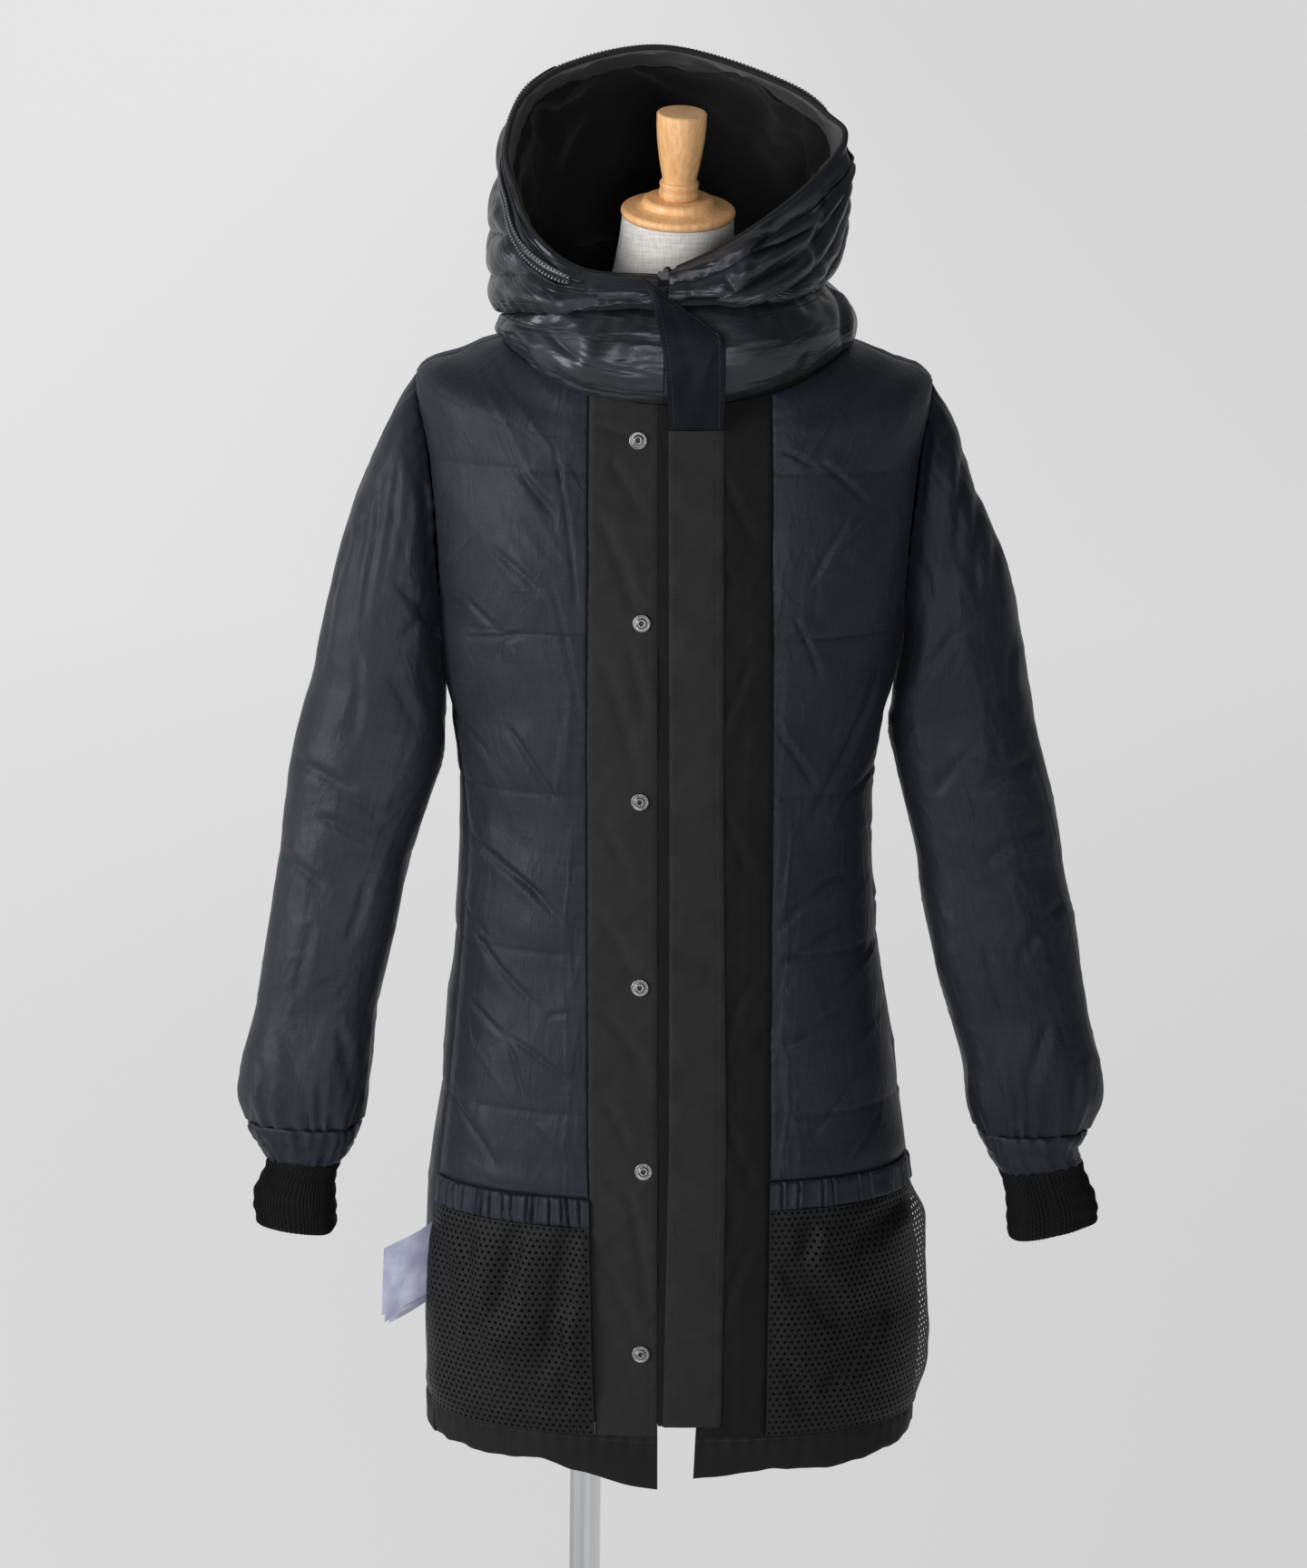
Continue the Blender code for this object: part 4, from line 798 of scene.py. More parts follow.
def puff(points, normals, sewn, look):
    # swells a padded skin between its seams; sewn is how firmly each point is held, 0 to 1
    rows, columns = points.shape[:2]
    grid = np.arange(rows * columns).reshape(rows, columns)
    quads = np.stack((grid[:-1, :-1], grid[:-1, 1:], grid[1:, 1:], grid[1:, :-1]), -1).reshape(-1, 4)
    facing = np.cross(points[0, 1] - points[0, 0], points[1, 0] - points[0, 0])
    if np.dot(facing, normals[0, 0]) < 0:
        quads = quads[:, ::-1]
    mesh = bpy.data.meshes.new("skin")
    mesh.from_pydata(points.reshape(-1, 3).tolist(), [], quads.tolist())
    skin = addObject("skin", mesh)
    group = skin.vertex_groups.new(name="sewn")
    for step in range(1, 11):
        group.add(np.flatnonzero(np.ceil(sewn.ravel() * 10) == step).tolist(), step / 10, "REPLACE")
    swell = skin.modifiers.new("swell", "CLOTH")
    swell.settings.vertex_group_mass = "sewn"
    swell.settings.effector_weights.gravity = 0
    swell.settings.use_pressure = True
    swell.settings.uniform_pressure_force = look["pressure"]
    swell.settings.shrink_min = -look["spare"]
    swell.settings.quality = look["quality"]
    swell.settings.mass = 0.1
    swell.settings.tension_stiffness = swell.settings.compression_stiffness = look["stretch"]
    swell.settings.shear_stiffness = look["stretch"] * 0.4
    swell.settings.bending_stiffness = look["bending"]
    swell.settings.tension_damping = swell.settings.compression_damping = 8
    swell.settings.air_damping = 4
    scene = bpy.context.scene
    for frameNumber in range(1, look["frames"] + 1):
        scene.frame_set(frameNumber)
    evaluated = skin.evaluated_get(bpy.context.evaluated_depsgraph_get())
    moved = np.empty(rows * columns * 3)
    evaluated.data.vertices.foreach_get("co", moved)
    scene.frame_set(1)
    bpy.data.objects.remove(skin)
    step = moved.reshape(points.shape) - points
    for _ in range(look["easing"]):
        step[1:-1, 1:-1] = (step[1:-1, 1:-1] * 2 + step[:-2, 1:-1] + step[2:, 1:-1] + step[1:-1, :-2]
                            + step[1:-1, 2:]) / 6
    far = np.linalg.norm(step, axis=-1, keepdims=True)
    print("puffed up to", round(float(far.max()) * 1000, 1), "mm, mean", round(float(far.mean()) * 1000, 1), "mm")
    return points + step * np.tanh(far / look["most"]) * look["most"] / np.maximum(far, 1e-9)


def quiltBulge(z, rise):
    phase = (z - coatShape["quiltLine"]) / coatShape["quiltStep"]
    off = np.abs(phase - np.round(phase)) * coatShape["quiltStep"]
    return rise * np.abs(np.sin(math.pi * phase)) ** 0.7, off


def fineFolds(x, y, degrees, stretch, size, seed, sharpness=2.6):
    u, v = slanted(x, y, degrees, stretch)
    return np.clip(1 - sharpness * np.abs(layeredNoise(u, v, size, seed, 2)), 0, 1) ** 1.6


front = {
    "spacing": 0.002, "wall": 0.004, "quiltRise": 0.0015, "lineDepth": 0.001, "creaseStrength": 0.6,
    "right": (
        (-132, 1266, -96, 1224, 0, 1.3), (-191, 1173, -157, 1214, 0, 0.7), (-157, 1203, -106, 1162, 2, 1),
        (-172, 1154, -144, 1128, 0, 1.1), (-180, 1120, -119, 1130, 0, 0.8), (-142, 1127, -146, 1105, 0, 0.8),
        (-142, 1054, -91, 976, 3, 1.2), (-174, 955, -93, 902, -3, 1.1), (-170, 953, -82, 876, 6, 1.1),
        (-171, 877, -104, 808, -3, 1.1), (-104, 808, -81, 812, 0, 0.8), (-136, 788, -76, 745, 3, 1),
        (-174, 816, -136, 784, 0, 0.9), (-136, 784, -121, 730, 2, 0.9), (-185, 726, -142, 669, 3, 1),
        (-104, 1180, -78, 1060, 2, 0.8), (-104, 1297, -80, 1130, 4, 0.8), (-198, 1060, -150, 1020, 2, 0.9),
        (-190, 900, -150, 865, 2, 0.8), (-115, 715, -80, 672, 2, 0.8),
    ),
    "left": (
        (169, 1104, 102, 955, 6, 1.2), (80, 1057, 120, 996, 2, 1), (155, 1226, 129, 1198, 1, 0.8),
        (138, 928, 83, 876, -3, 1.1), (139, 887, 84, 852, 3, 1), (140, 814, 85, 784, 3, 1),
        (144, 1236, 107, 1170, -2, 0.9), (112, 1277, 159, 1234, 2, 0.8), (83, 1285, 113, 1270, 0, 0.8),
        (181, 1020, 140, 985, 2, 0.9), (165, 770, 110, 700, 4, 1), (180, 720, 150, 680, 2, 0.8),
        (95, 1150, 120, 1090, 2, 0.8), (170, 860, 140, 830, 2, 0.8),
    ),
}

underarm = {
    "height": (1.048, 1.06, 1.072, 1.08, 1.1, 1.118, 1.15),
    "right": (0.0, 0.0022, 0.0041, 0.0043, 0.0038, 0.0033, 0.0),
    "left": (0.0, 0.0028, 0.0051, 0.0054, 0.0049, 0.0036, 0.0),
}


def pressed(relief, near, x, z):
    # body and sleeve meet softly under the arm
    near = near * smooth((z - 1.045) / 0.012) * smooth((1.155 - z) / 0.012)
    meet = np.where(x > 0, *(np.interp(z, underarm["height"], underarm[side]) for side in ("left", "right")))
    return relief * (1 - near) + near * meet


def liningRelief(points, table, seed, mirrored=False):
    x, z = points[..., 0] * (-1 if mirrored else 1), points[..., 2]
    bulge, offLine = quiltBulge(z, front["quiltRise"])
    left, right, bottom, top = edgeDistances(points)
    nearest = np.minimum(np.minimum(left, right), np.minimum(bottom, top))
    inside = smooth(nearest / 0.016)
    patchy = 0.5 + 0.5 * softNoise(x, z * 0, 0.05, seed + 40)
    lift = bulge * inside - front["lineDepth"] * (0.45 + 0.55 * patchy) * bump(offLine, 0.0022)
    lift += creases(x, z, table, 0.75) * front["creaseStrength"]
    lift += 0.002 * layeredNoise(x, z, 0.085, seed, 2) * smooth(nearest / 0.03)
    slant = 52 if mirrored ^ (points[..., 0].mean() > 0) else -52
    lift += 0.0007 * fineFolds(x, z, slant, 3.2, 0.038, seed + 1) * smooth(nearest / 0.012)
    lift += puckers(np.minimum(left, right), z, 0.01, 0.0005, 0.013, seed + 3)
    lift += 0.0011 * fineFolds(x, z, 87, 6.0, 0.012, seed + 5) * bump(left - 0.014, 0.012)
    lift += turnedEdge(nearest, 0.0035, 0.0018)
    return pressed(lift, smooth((np.abs(x) - 0.163) / 0.018), points[..., 0], z)


for side in sideSign:
    levels = panelLevels(levelAt(coatShape["pocketTop"][side]), front["spacing"])
    points = sidePanel(side, levels, front["spacing"])
    relief = liningRelief(points, front[side], 3 if side == "right" else 17)
    clothPiece(f"frontLining_{side}", points, front["wall"], relief, "lining", [f"front_{side}"], "form_torso")
print("fronts ready")

back = {
    "spacing": 0.0052, "wall": 0.004,
    "own": (
        (-30, 1270, 40, 1215, 4, 1.3), (50, 1160, -20, 1080, -4, 1.3), (-60, 1060, 10, 985, 4, 1.3),
        (60, 960, -30, 905, -4, 1.3), (-50, 900, 50, 850, 6, 1.3), (40, 790, -30, 700, 4, 1.2),
        (-70, 700, -10, 600, 4, 1.4), (70, 650, 20, 540, -4, 1.4), (-150, 640, -100, 540, 4, 1.4),
        (160, 620, 110, 500, -4, 1.4),
    ),
}
levels = panelLevels(hemTop, back["spacing"])
points = bodyPoints(levels, sideAngle("left", levels, True), 360 + sideAngle("right", levels, True),
                    back["spacing"])
relief = liningRelief(points, front["right"] + front["left"] + back["own"], 29, mirrored=True)
clothPiece("backLining", points, back["wall"], relief, "lining", ["back_panel"], "form_torso")
print("back ready")

shell = {"spacing": 0.006, "wall": 0.003}
for side in sideSign:
    levels = levelsBetween(hemTop, levelAt(coatShape["pocketTop"][side]), shell["spacing"])
    points = sidePanel(side, levels, shell["spacing"])
    relief = np.minimum(0.0012 * layeredNoise(points[..., 0], points[..., 2], 0.05, 51, 2) - 0.0008, 0)
    clothPiece(f"lowerFront_{side}", points, shell["wall"], relief, "twillShaded", [f"lower_front_{side}"],
               "form_torso")

facing = {
    "spacing": 0.0028, "wall": 0.003,
    "right": (
        (-65, 1302, -33, 1292, 0, 0.7), (-59, 1280, -26, 1222, 2, 0.9), (-68, 1236, -34, 1141, 4, 1),
        (-49, 1200, -31, 1147, 2, 0.8), (-63, 1117, -29, 995, 4, 1), (-41, 1133, -24, 1057, 2, 0.8),
        (-64, 902, -26, 834, 2, 0.9), (-60, 817, -17, 757, 3, 0.9), (-54, 672, -23, 649, 1, 0.8),
        (-58, 609, -22, 524, 3, 0.9), (-36, 672, -15, 556, 2, 0.8), (-62, 975, -35, 925, 2, 0.8),
        (-58, 745, -30, 690, 2, 0.8),
    ),
    "left": (
        (30, 1270, 66, 1200, 2, 0.8), (66, 1120, 32, 1030, -3, 0.8), (34, 990, 70, 910, 3, 0.9),
        (72, 850, 36, 770, -3, 0.9), (40, 730, 74, 650, 3, 0.9), (70, 620, 40, 530, -3, 0.9),
        (32, 1190, 47, 1178, 0, 0.7),
    ),
}


def stripPoints(levels, fromEdge, toEdge, spacing):
    return bodyPoints(levels, edgeAngle(fromEdge, levels), edgeAngle(toEdge, levels), spacing)


stitchLines = []
for side, edges in (("right", ("seamRight", "edgeRight")), ("left", ("edgeLeft", "seamLeft"))):
    levels = panelLevels(hemTop, facing["spacing"])
    points = stripPoints(levels, *edges, facing["spacing"])
    x, z = points[..., 0], points[..., 2]
    left, right, bottom, top = edgeDistances(points)
    seamSide, freeSide = (left, right) if side == "right" else (right, left)
    relief = 0.55 * creases(x, z, facing[side], 1.5) + 0.001 * layeredNoise(x, z, 0.05, 61)
    relief += 0.0006 * fineFolds(x, z, 60, 2.5, 0.022, 62) + puckers(seamSide, z, 0.007, 0.0006, 0.012, 63)
    relief += turnedEdge(seamSide, 0.003, 0.0016) + turnedEdge(freeSide, 0.0014, 0.001)
    relief -= 0.0007 * bump(freeSide - 0.0045, 0.0009)
    if side == "left":
        relief += 0.0009 * smooth((x - 0.057) / 0.0035) * smooth((1.2 - z) / 0.01)
    # the left facing takes the shaded copy of the twill: painted shadow cast by the flap
    outer, normals = clothPiece(f"facing_{side}Twill", points, facing["wall"], relief,
                                "twill" if side == "right" else "twillShaded", [f"facing_{side}"], "form_torso")
    share = 0.0045 / float(left[:, -1].mean())
    stitchLines.append(gridLine(outer, normals, across=1 - share if side == "right" else share))

placket = {"spacing": 0.0055, "wall": 0.0022}
levels = panelLevels(flapFoot, placket["spacing"])
points = stripPoints(levels, "edgeRight", "edgeLeft", placket["spacing"])
relief = 0.0005 * layeredNoise(points[..., 0], points[..., 2], 0.04, 66) - 0.0006
clothPiece("zipPlacket", points, placket["wall"], relief, "twillShaded", ["zip_tape"], "form_torso")

flap = {"spacing": 0.0028, "wall": 0.0022, "seamIn": (0.006, 0.0045), "topRows": 44, "topColumns": 22}
levels = levelsBetween(flapFoot, levelAt(coatShape["flapSeam"]), flap["spacing"])
points = stripPoints(levels, "flapRight", "flapLeft", flap["spacing"])
x, z = points[..., 0], points[..., 2]
left, right, bottom, top = edgeDistances(points)
nearest = np.minimum(left, right)
relief = 0.0009 * layeredNoise(x, z, 0.045, 71) + 0.0006 * fineFolds(x, z, 15, 2.0, 0.025, 72)
relief += 0.001 * np.sin(2 * math.pi * z / 0.058 + 3 * softNoise(z, x * 0, 0.11, 73)) * smooth(nearest / 0.012)
relief -= 0.0007 * (bump(left - flap["seamIn"][0], 0.0009) + bump(right - flap["seamIn"][1], 0.0009))
relief += turnedEdge(nearest, 0.0018, 0.0011)
outer, normals = clothPiece("windFlap", points, flap["wall"], relief, "twill", ["zip_flap"], "zipPlacket",
                            lift=gap + flap["wall"])
for distance, line in ((flap["seamIn"][0], left), (-flap["seamIn"][1], right)):
    share = distance / float(left[:, -1].mean())
    stitchLines.append(gridLine(outer, normals, across=share if share > 0 else 1 + share))

# the navy top piece of the flap: heights and places of its two edges, and how far forward it stands
flapTop = np.array([
    (1.2999, 1.3012, -0.008, 0.0368), (1.32, 1.316, -0.0095, 0.037), (1.342, 1.334, -0.011, 0.0372),
    (1.365, 1.352, -0.014, 0.0372), (1.388, 1.365, -0.0185, 0.0372), (1.408, 1.373, -0.024, 0.037),
    (1.425, 1.379, -0.032, 0.035),
])
flapTopStand = np.array([
    (1.2996, 0.1216), (1.32, 0.132), (1.34, 0.142), (1.36, 0.144), (1.38, 0.1415),
    (1.4, 0.133), (1.425, 0.124),
])
rows = alongRows(flapTop, np.linspace(0, 6, flap["topRows"]))
share = np.linspace(0, 1, flap["topColumns"])[None]
z = rows[:, 0:1] + (rows[:, 1:2] - rows[:, 0:1]) * share
x = rows[:, 2:3] + (rows[:, 3:4] - rows[:, 2:3]) * share
forward = alongRows(flapTopStand, np.linspace(0, 6, 241))
points = np.stack((x, -np.interp(z, forward[:, 0], forward[:, 1]), z), -1)
left, right, bottom, top = edgeDistances(points)
nearest = np.minimum(np.minimum(left, right), top)
relief = 0.0012 * layeredNoise(x, z, 0.03, 75) + 0.0008 * fineFolds(x, z, 70, 2.5, 0.02, 76)
relief += 0.4 * creases(x, z, ((-6, 1395, 12, 1330, 2, 0.7), (20, 1372, 4, 1318, -2, 0.6)), 2.2)
relief -= 0.0006 * bump(nearest - 0.0045, 0.0009)
relief += turnedEdge(nearest, 0.0018, 0.0011)
# its finish is the lining darkened with painted shade
outer, normals = clothPiece("flapTop", points, flap["wall"], relief, "liningShaded", ["zip_flap_top"], "collarShell")
seam = 0.0045 / 0.05
stitchLines += [gridLine(outer, normals, across=seam), gridLine(outer, normals, across=1 - seam)]
print("facings and flap ready")

# how far the edge sags to the left and to the right, in which direction and how widely
hem = {"spacing": 0.0026, "wall": 0.003, "sag": (0.008, 0.001), "sagAt": 40.0, "sagWidth": 21.0}


def hemFace(angle, level):
    point = coatFace(angle, level)
    near = np.where(np.abs(angle) < 90, np.clip(1 - np.abs(angle) / 26.0, 0, 1), 0)
    drop = np.where(angle > 0, coatShape["cornerDrop"]["left"], coatShape["cornerDrop"]["right"])
    sag = drop * near + np.where(angle > 0, *hem["sag"]) * bump(np.abs(angle) - hem["sagAt"], hem["sagWidth"])
    sag = sag + 0.0022 * layeredNoise(angle, angle * 0, 8.0, 83, 2)
    point[..., 2] -= sag * (1 - level / hemLevels[-1])
    return point


hemLevels = levelsBetween(0.0, hemTop, hem["spacing"])
hemSpans = {
    "right": (edgeAngle("edgeRight", hemLevels), sideAngle("right", hemLevels)),
    "left": (edgeAngle("edgeLeft", hemLevels), sideAngle("left", hemLevels)),
    "back": (sideAngle("left", hemLevels), 360 + sideAngle("right", hemLevels)),
}
for side, (start, end) in hemSpans.items():
    points = bodyPoints(hemLevels, start, end, hem["spacing"] * (1.4 if side == "back" else 1.0), hemFace)
    left, right, bottom, top = edgeDistances(points)
    relief = puckers(top, left, 0.012, 0.0011, 0.014, 81) + 0.001 * layeredNoise(left, bottom, 0.035, 82)
    relief -= 0.0008 * bump(top - 0.003, 0.001)
    relief += turnedEdge(top, 0.0022, 0.0012) + turnedEdge(bottom, 0.003, 0.0016)
    outer, normals = clothPiece(f"hemBand_{side}", points, hem["wall"], relief, "hem", [f"hem_{side}"],
                                f"lowerFront_{side}" if side != "back" else "backLining")
    stitchLines.append(gridLine(outer, normals, along=1 - 0.003 / 0.025))

pocket = {
    "pitch": 0.0058, "hole": 0.00145, "wall": 0.0012, "thread": 0.00055, "spacing": 0.0035,
    "bandWall": 0.0022, "bandSpacing": (0.0022, 0.0013), "sideBulge": {"right": 0.0025, "left": 0.0075},
    "gathers": {"right": (0.05, 0.11, 0.145, 0.21, 0.3, 0.335, 0.42, 0.47, 0.55, 0.6, 0.635, 0.73, 0.8, 0.86,
                          0.93),
                "left": (0.06, 0.14, 0.26, 0.31, 0.45, 0.52, 0.66, 0.78, 0.84, 0.94)},
    "folds": {"right": ((-82, 640, -112, 475, 6, 1.6),
                        (-125, 632, -150, 520, 4, 1.5), (-165, 625, -150, 500, -6, 1.4),
                        (-100, 560, -80, 465, 3, 1.2),
                        (-190, 610, -180, 500, 4, 1.4)),
              "left": ((92, 602, 150, 535, 8, 1.7),
                       (200, 640, 150, 600, -5, 1.5), (120, 640, 100, 560, 3, 1.2), (180, 560, 120, 480, 6, 1.5),
                       (95, 520, 120, 460, 3, 1.2))},
}


def gridSample(grid, across, along):
    # smooth point of a grid at shares of its width and length
    rows, columns = grid.shape[:2]
    u, v = np.clip(across, 0, 1) * (columns - 1), np.clip(along, 0, 1) * (rows - 1)
    j, i = np.minimum(u.astype(int), columns - 2), np.minimum(v.astype(int), rows - 2)
    s, t = (u - j)[..., None], (v - i)[..., None]
    return ((grid[i, j] * (1 - s) + grid[i, j + 1] * s) * (1 - t)
            + (grid[i + 1, j] * (1 - s) + grid[i + 1, j + 1] * s) * t)


def netMesh(name, outer, normals, thread, width, length):
    # staggered round holes: each cell is a ring of eight faces round an eight-sided hole
    across, tall = pocket["pitch"], pocket["pitch"] * 0.866
    cells, rows = int(round(width / across)), int(round(length / tall))
    lines = 2 * cells + 2
    flat, faces, walls = [], [], []

    def addFlat(x, y):
        flat.append((x / (cells + 0.5), y / rows))
        return len(flat) - 1

    corner = [[addFlat(k / 2, j) for k in range(lines)] for j in range(rows + 1)]
    middle = [[addFlat(k / 2, j + 0.5) for k in range(lines)] for j in range(rows)]
    for j in range(rows):
        shift = j % 2
        plain = 0 if shift else 2 * cells
        faces.append([corner[j][plain], corner[j][plain + 1], middle[j][plain + 1], middle[j][plain]])
        faces.append([middle[j][plain], middle[j][plain + 1], corner[j + 1][plain + 1], corner[j + 1][plain]])
        for i in range(cells):
            k = 2 * i + shift
            rim = [middle[j][k + 2], corner[j + 1][k + 2], corner[j + 1][k + 1], corner[j + 1][k],
                   middle[j][k], corner[j][k], corner[j][k + 1], corner[j][k + 2]]
            hole = []
            for t in range(8):
                turn = math.pi / 4 * t
                hole.append(addFlat((k + 1) / 2 + math.cos(turn) * pocket["hole"] / across,
                                    j + 0.5 + math.sin(turn) * pocket["hole"] / tall))
            for t in range(8):
                n = (t + 1) % 8
                faces.append([rim[t], rim[n], hole[n], hole[t]])
                walls.append([hole[t], hole[n]])
    flat = np.array(flat)
    place = gridSample(outer, flat[:, 0], flat[:, 1])
    normal = gridSample(normals, flat[:, 0], flat[:, 1])
    count = len(flat)
    points = np.concatenate((place, place - normal * thread)) + (coatX, 0, 0)
    quads = faces + [[c + count for c in reversed(face)] for face in faces]
    quads += [[a, b, b + count, a + count] for a, b in walls]
    upright = [[line[k] for pair in zip(corner, middle) for line in pair] + [corner[-1][k]] for k in (0, lines - 1)]
    for line in [corner[0], corner[-1]] + upright:
        quads += [[a, a + count, b + count, b] for a, b in zip(line, line[1:])]
    mesh = newMesh(name, points.tolist(), quads)
    work = bmesh.new()
    work.from_mesh(mesh)
    bmesh.ops.recalc_face_normals(work, faces=work.faces)
    work.to_mesh(mesh)
    work.free()
    mesh.set_sharp_from_angle(angle=math.radians(50))
    return mesh


for side in sideSign:
    topLevel = levelAt(coatShape["pocketTop"][side])
    footLevel = levelAt(coatShape["pocketTop"][side] - coatShape["pocketBand"])
    levels = levelsBetween(hemTop, footLevel, pocket["spacing"])
    points = setBack(sidePanel(side, levels, pocket["spacing"]))
    x, z = points[..., 0], points[..., 2]
    left, right, bottom, top = edgeDistances(points)
    inside = smooth(np.minimum(left, right) / 0.02) * smooth(bottom / 0.012)
    relief = 1.2 * creases(x, z, pocket["folds"][side], 1.6) * smooth(top / 0.006)
    relief += (0.003 * inside * (0.6 + 0.4 * layeredNoise(x, z, 0.06, 91, 2))
               + 0.0006 * layeredNoise(x, z, 0.02, 92))
    relief += pocket["sideBulge"][side] * bump(right, 0.03) * smooth(bottom / 0.03) * smooth(top / 0.03)
    normals = gridNormals(points, awayFromMiddle(points))
    outer = points + normals * (pocket["wall"] + 2 * gap + np.maximum(relief, 0.0002))[..., None]
    mesh = netMesh(f"pocketNet_{side}", outer, normals, pocket["thread"], float(left[:, -1].mean()),
                   float(bottom[-1].mean()))
    netPiece = addPiece(f"pocketNet_{side}", mesh, "net", [f"pocket_net_{side}"])

    levels = levelsBetween(footLevel, topLevel, pocket["bandSpacing"][0])
    points = sidePanel(side, levels, pocket["bandSpacing"][1])
    left, right, bottom, top = edgeDistances(points)
    width = left[:, -1:]
    relief = np.full_like(left, 0.0007)
    for number, place in enumerate(pocket["gathers"][side]):
        off = left / width - place + 0.01 * math.sin(5.1 * number) * (bottom / bottom[-1] - 0.5)
        relief += 0.0011 * bump(off * width - 0.002, 0.0018) - 0.0021 * bump(off * width, 0.0011)
        relief += 0.0008 * bump(off * width + 0.0024, 0.0022)
    relief += 0.0006 * layeredNoise(left, bottom, 0.02, 95, 2) + turnedEdge(np.minimum(bottom, top), 0.0035, 0.0015)
    clothPiece(f"pocketBand_{side}", points, pocket["bandWall"], relief, "lining", [f"pocket_band_{side}"],
               f"lowerFront_{side}", "gathered", lift=pocket["bandWall"] + 2 * gap, least=0.0005)
print("hem and pockets ready")


# sleeves

# down each arm, in millimetres: outer side x and z, inner side x and z, forward, half depth
sleeveSections = {
    "right": (
        (240, 1295, 203, 1118, 0, 60), (260, 1247, 201.5, 1100, 2, 62),
        (279, 1195, 199, 1080, 4, 62), (293, 1135, 195, 1060, 5, 61),
        (304, 1080, 192.5, 1038, 6, 60), (319, 1020, 198.5, 1000, 8, 58),
        (329, 958, 214, 950, 10, 56), (339, 880, 233, 878, 14, 54),
        (352, 793, 252, 793, 18, 52), (362.5, 738, 259.5, 738, 20, 52),
        (364.5, 715, 261.2, 715, 20, 50), (359, 693, 264, 693, 20, 46),
        (354, 681, 266.5, 683, 20, 42), (346, 669, 273, 669, 20, 36),
        (342, 659, 281, 658, 20, 31.5), (346, 645, 286, 644, 20, 31),
        (354, 626, 286.5, 625, 20, 32), (350, 601, 286, 597, 20, 32),
    ),
    "left": (
        (229, 1292, 195.5, 1118, 0, 60), (244, 1248, 194.5, 1100, 2, 62),
        (265, 1200, 191.5, 1080, 4, 62), (280, 1150, 186, 1060, 5, 62),
        (296, 1080, 180.5, 1038, 6, 62), (308.5, 1024, 187.5, 1006, 8, 60),
        (323.7, 958, 201, 956, 10, 60), (338, 882, 215.5, 880, 14, 59),
        (353.7, 802, 235.5, 802, 18, 57), (363, 748, 249, 756, 20, 55),
        (364, 720, 255, 718, 20, 52), (356, 695, 263, 695, 20, 48),
        (350, 683, 269, 682, 20, 44), (348, 674, 276, 668, 20, 39),
        (352, 665, 283, 657, 20, 35), (358, 649, 288, 641, 20, 34.5),
        (366, 631, 291, 621, 20, 35), (367, 614, 292.5, 598, 20, 35),
    ),
}
sleeve = {
    "columns": 136, "spacing": 0.0026, "roundness": 0.8, "frontRoundness": 0.66, "wall": 0.004,
    "bandStart": 12.0, "bandEnd": 15.0, "bandWall": 0.0026, "bandColumns": 170,
    "ribs": 72, "ribWall": 0.0024, "ribSpacing": 0.0034,
    # how far each sleeve's front is turned outwards
    "turned": {"right": 0.0085, "left": 0.005},
    "right": (
        (-220, 1331, -205, 1226, 3, 1.1), (-212, 1250, -206, 1170, 2, 1), (-231, 1271, -250, 1137, 4, 0.8),
        (-245, 1262, -262, 1120, 3, 0.8), (-258, 1245, -276, 1110, 4, 0.8), (-270, 1212, -289, 1140, 2, 0.8),
        (-282, 1180, -300, 1070, 3, 0.8), (-222, 1240, -236, 1150, 2, 0.8), (-232, 1163, -205, 1130, 2, 1.1),
        (-205, 1150, -232, 1110, 2, 1), (-262, 1105, -270, 1020, 2, 0.9), (-240, 1090, -215, 1040, 2, 1),
        (-320, 1010, -268, 985, 3, 1.1), (-300, 965, -245, 940, 3, 1.1), (-273, 985, -238, 960, 2, 1),
        (-335, 930, -285, 900, 3, 1), (-255, 915, -275, 850, 2, 1), (-300, 880, -320, 800, 2, 0.9),
        (-330, 780, -305, 715, 3, 1.1), (-280, 790, -272, 720, 2, 1.1), (-348, 760, -340, 710, 1, 0.9),
        (-298, 740, -292, 700, 1, 1),
    ),
    "left": (
        (212, 1320, 200, 1215, -3, 1.1), (224, 1300, 215, 1200, -3, 1), (236, 1280, 232, 1180, -2, 0.8),
        (248, 1250, 250, 1150, -2, 0.8), (262, 1210, 268, 1120, -2, 0.8), (205, 1190, 222, 1120, -2, 1),
        (236, 1130, 206, 1085, -3, 1), (280, 1120, 284, 1040, -2, 0.8), (300, 1020, 250, 990, -4, 1.1),
        (250, 1030, 215, 985, -3, 1), (310, 965, 258, 930, -3, 1.1), (225, 960, 252, 905, -2, 1),
        (330, 900, 290, 850, -3, 1), (262, 870, 288, 790, -3, 0.9), (320, 800, 300, 725, -2, 1.1),
        (272, 780, 280, 715, -2, 1.1), (345, 770, 340, 710, -1, 0.9),
    ),
}


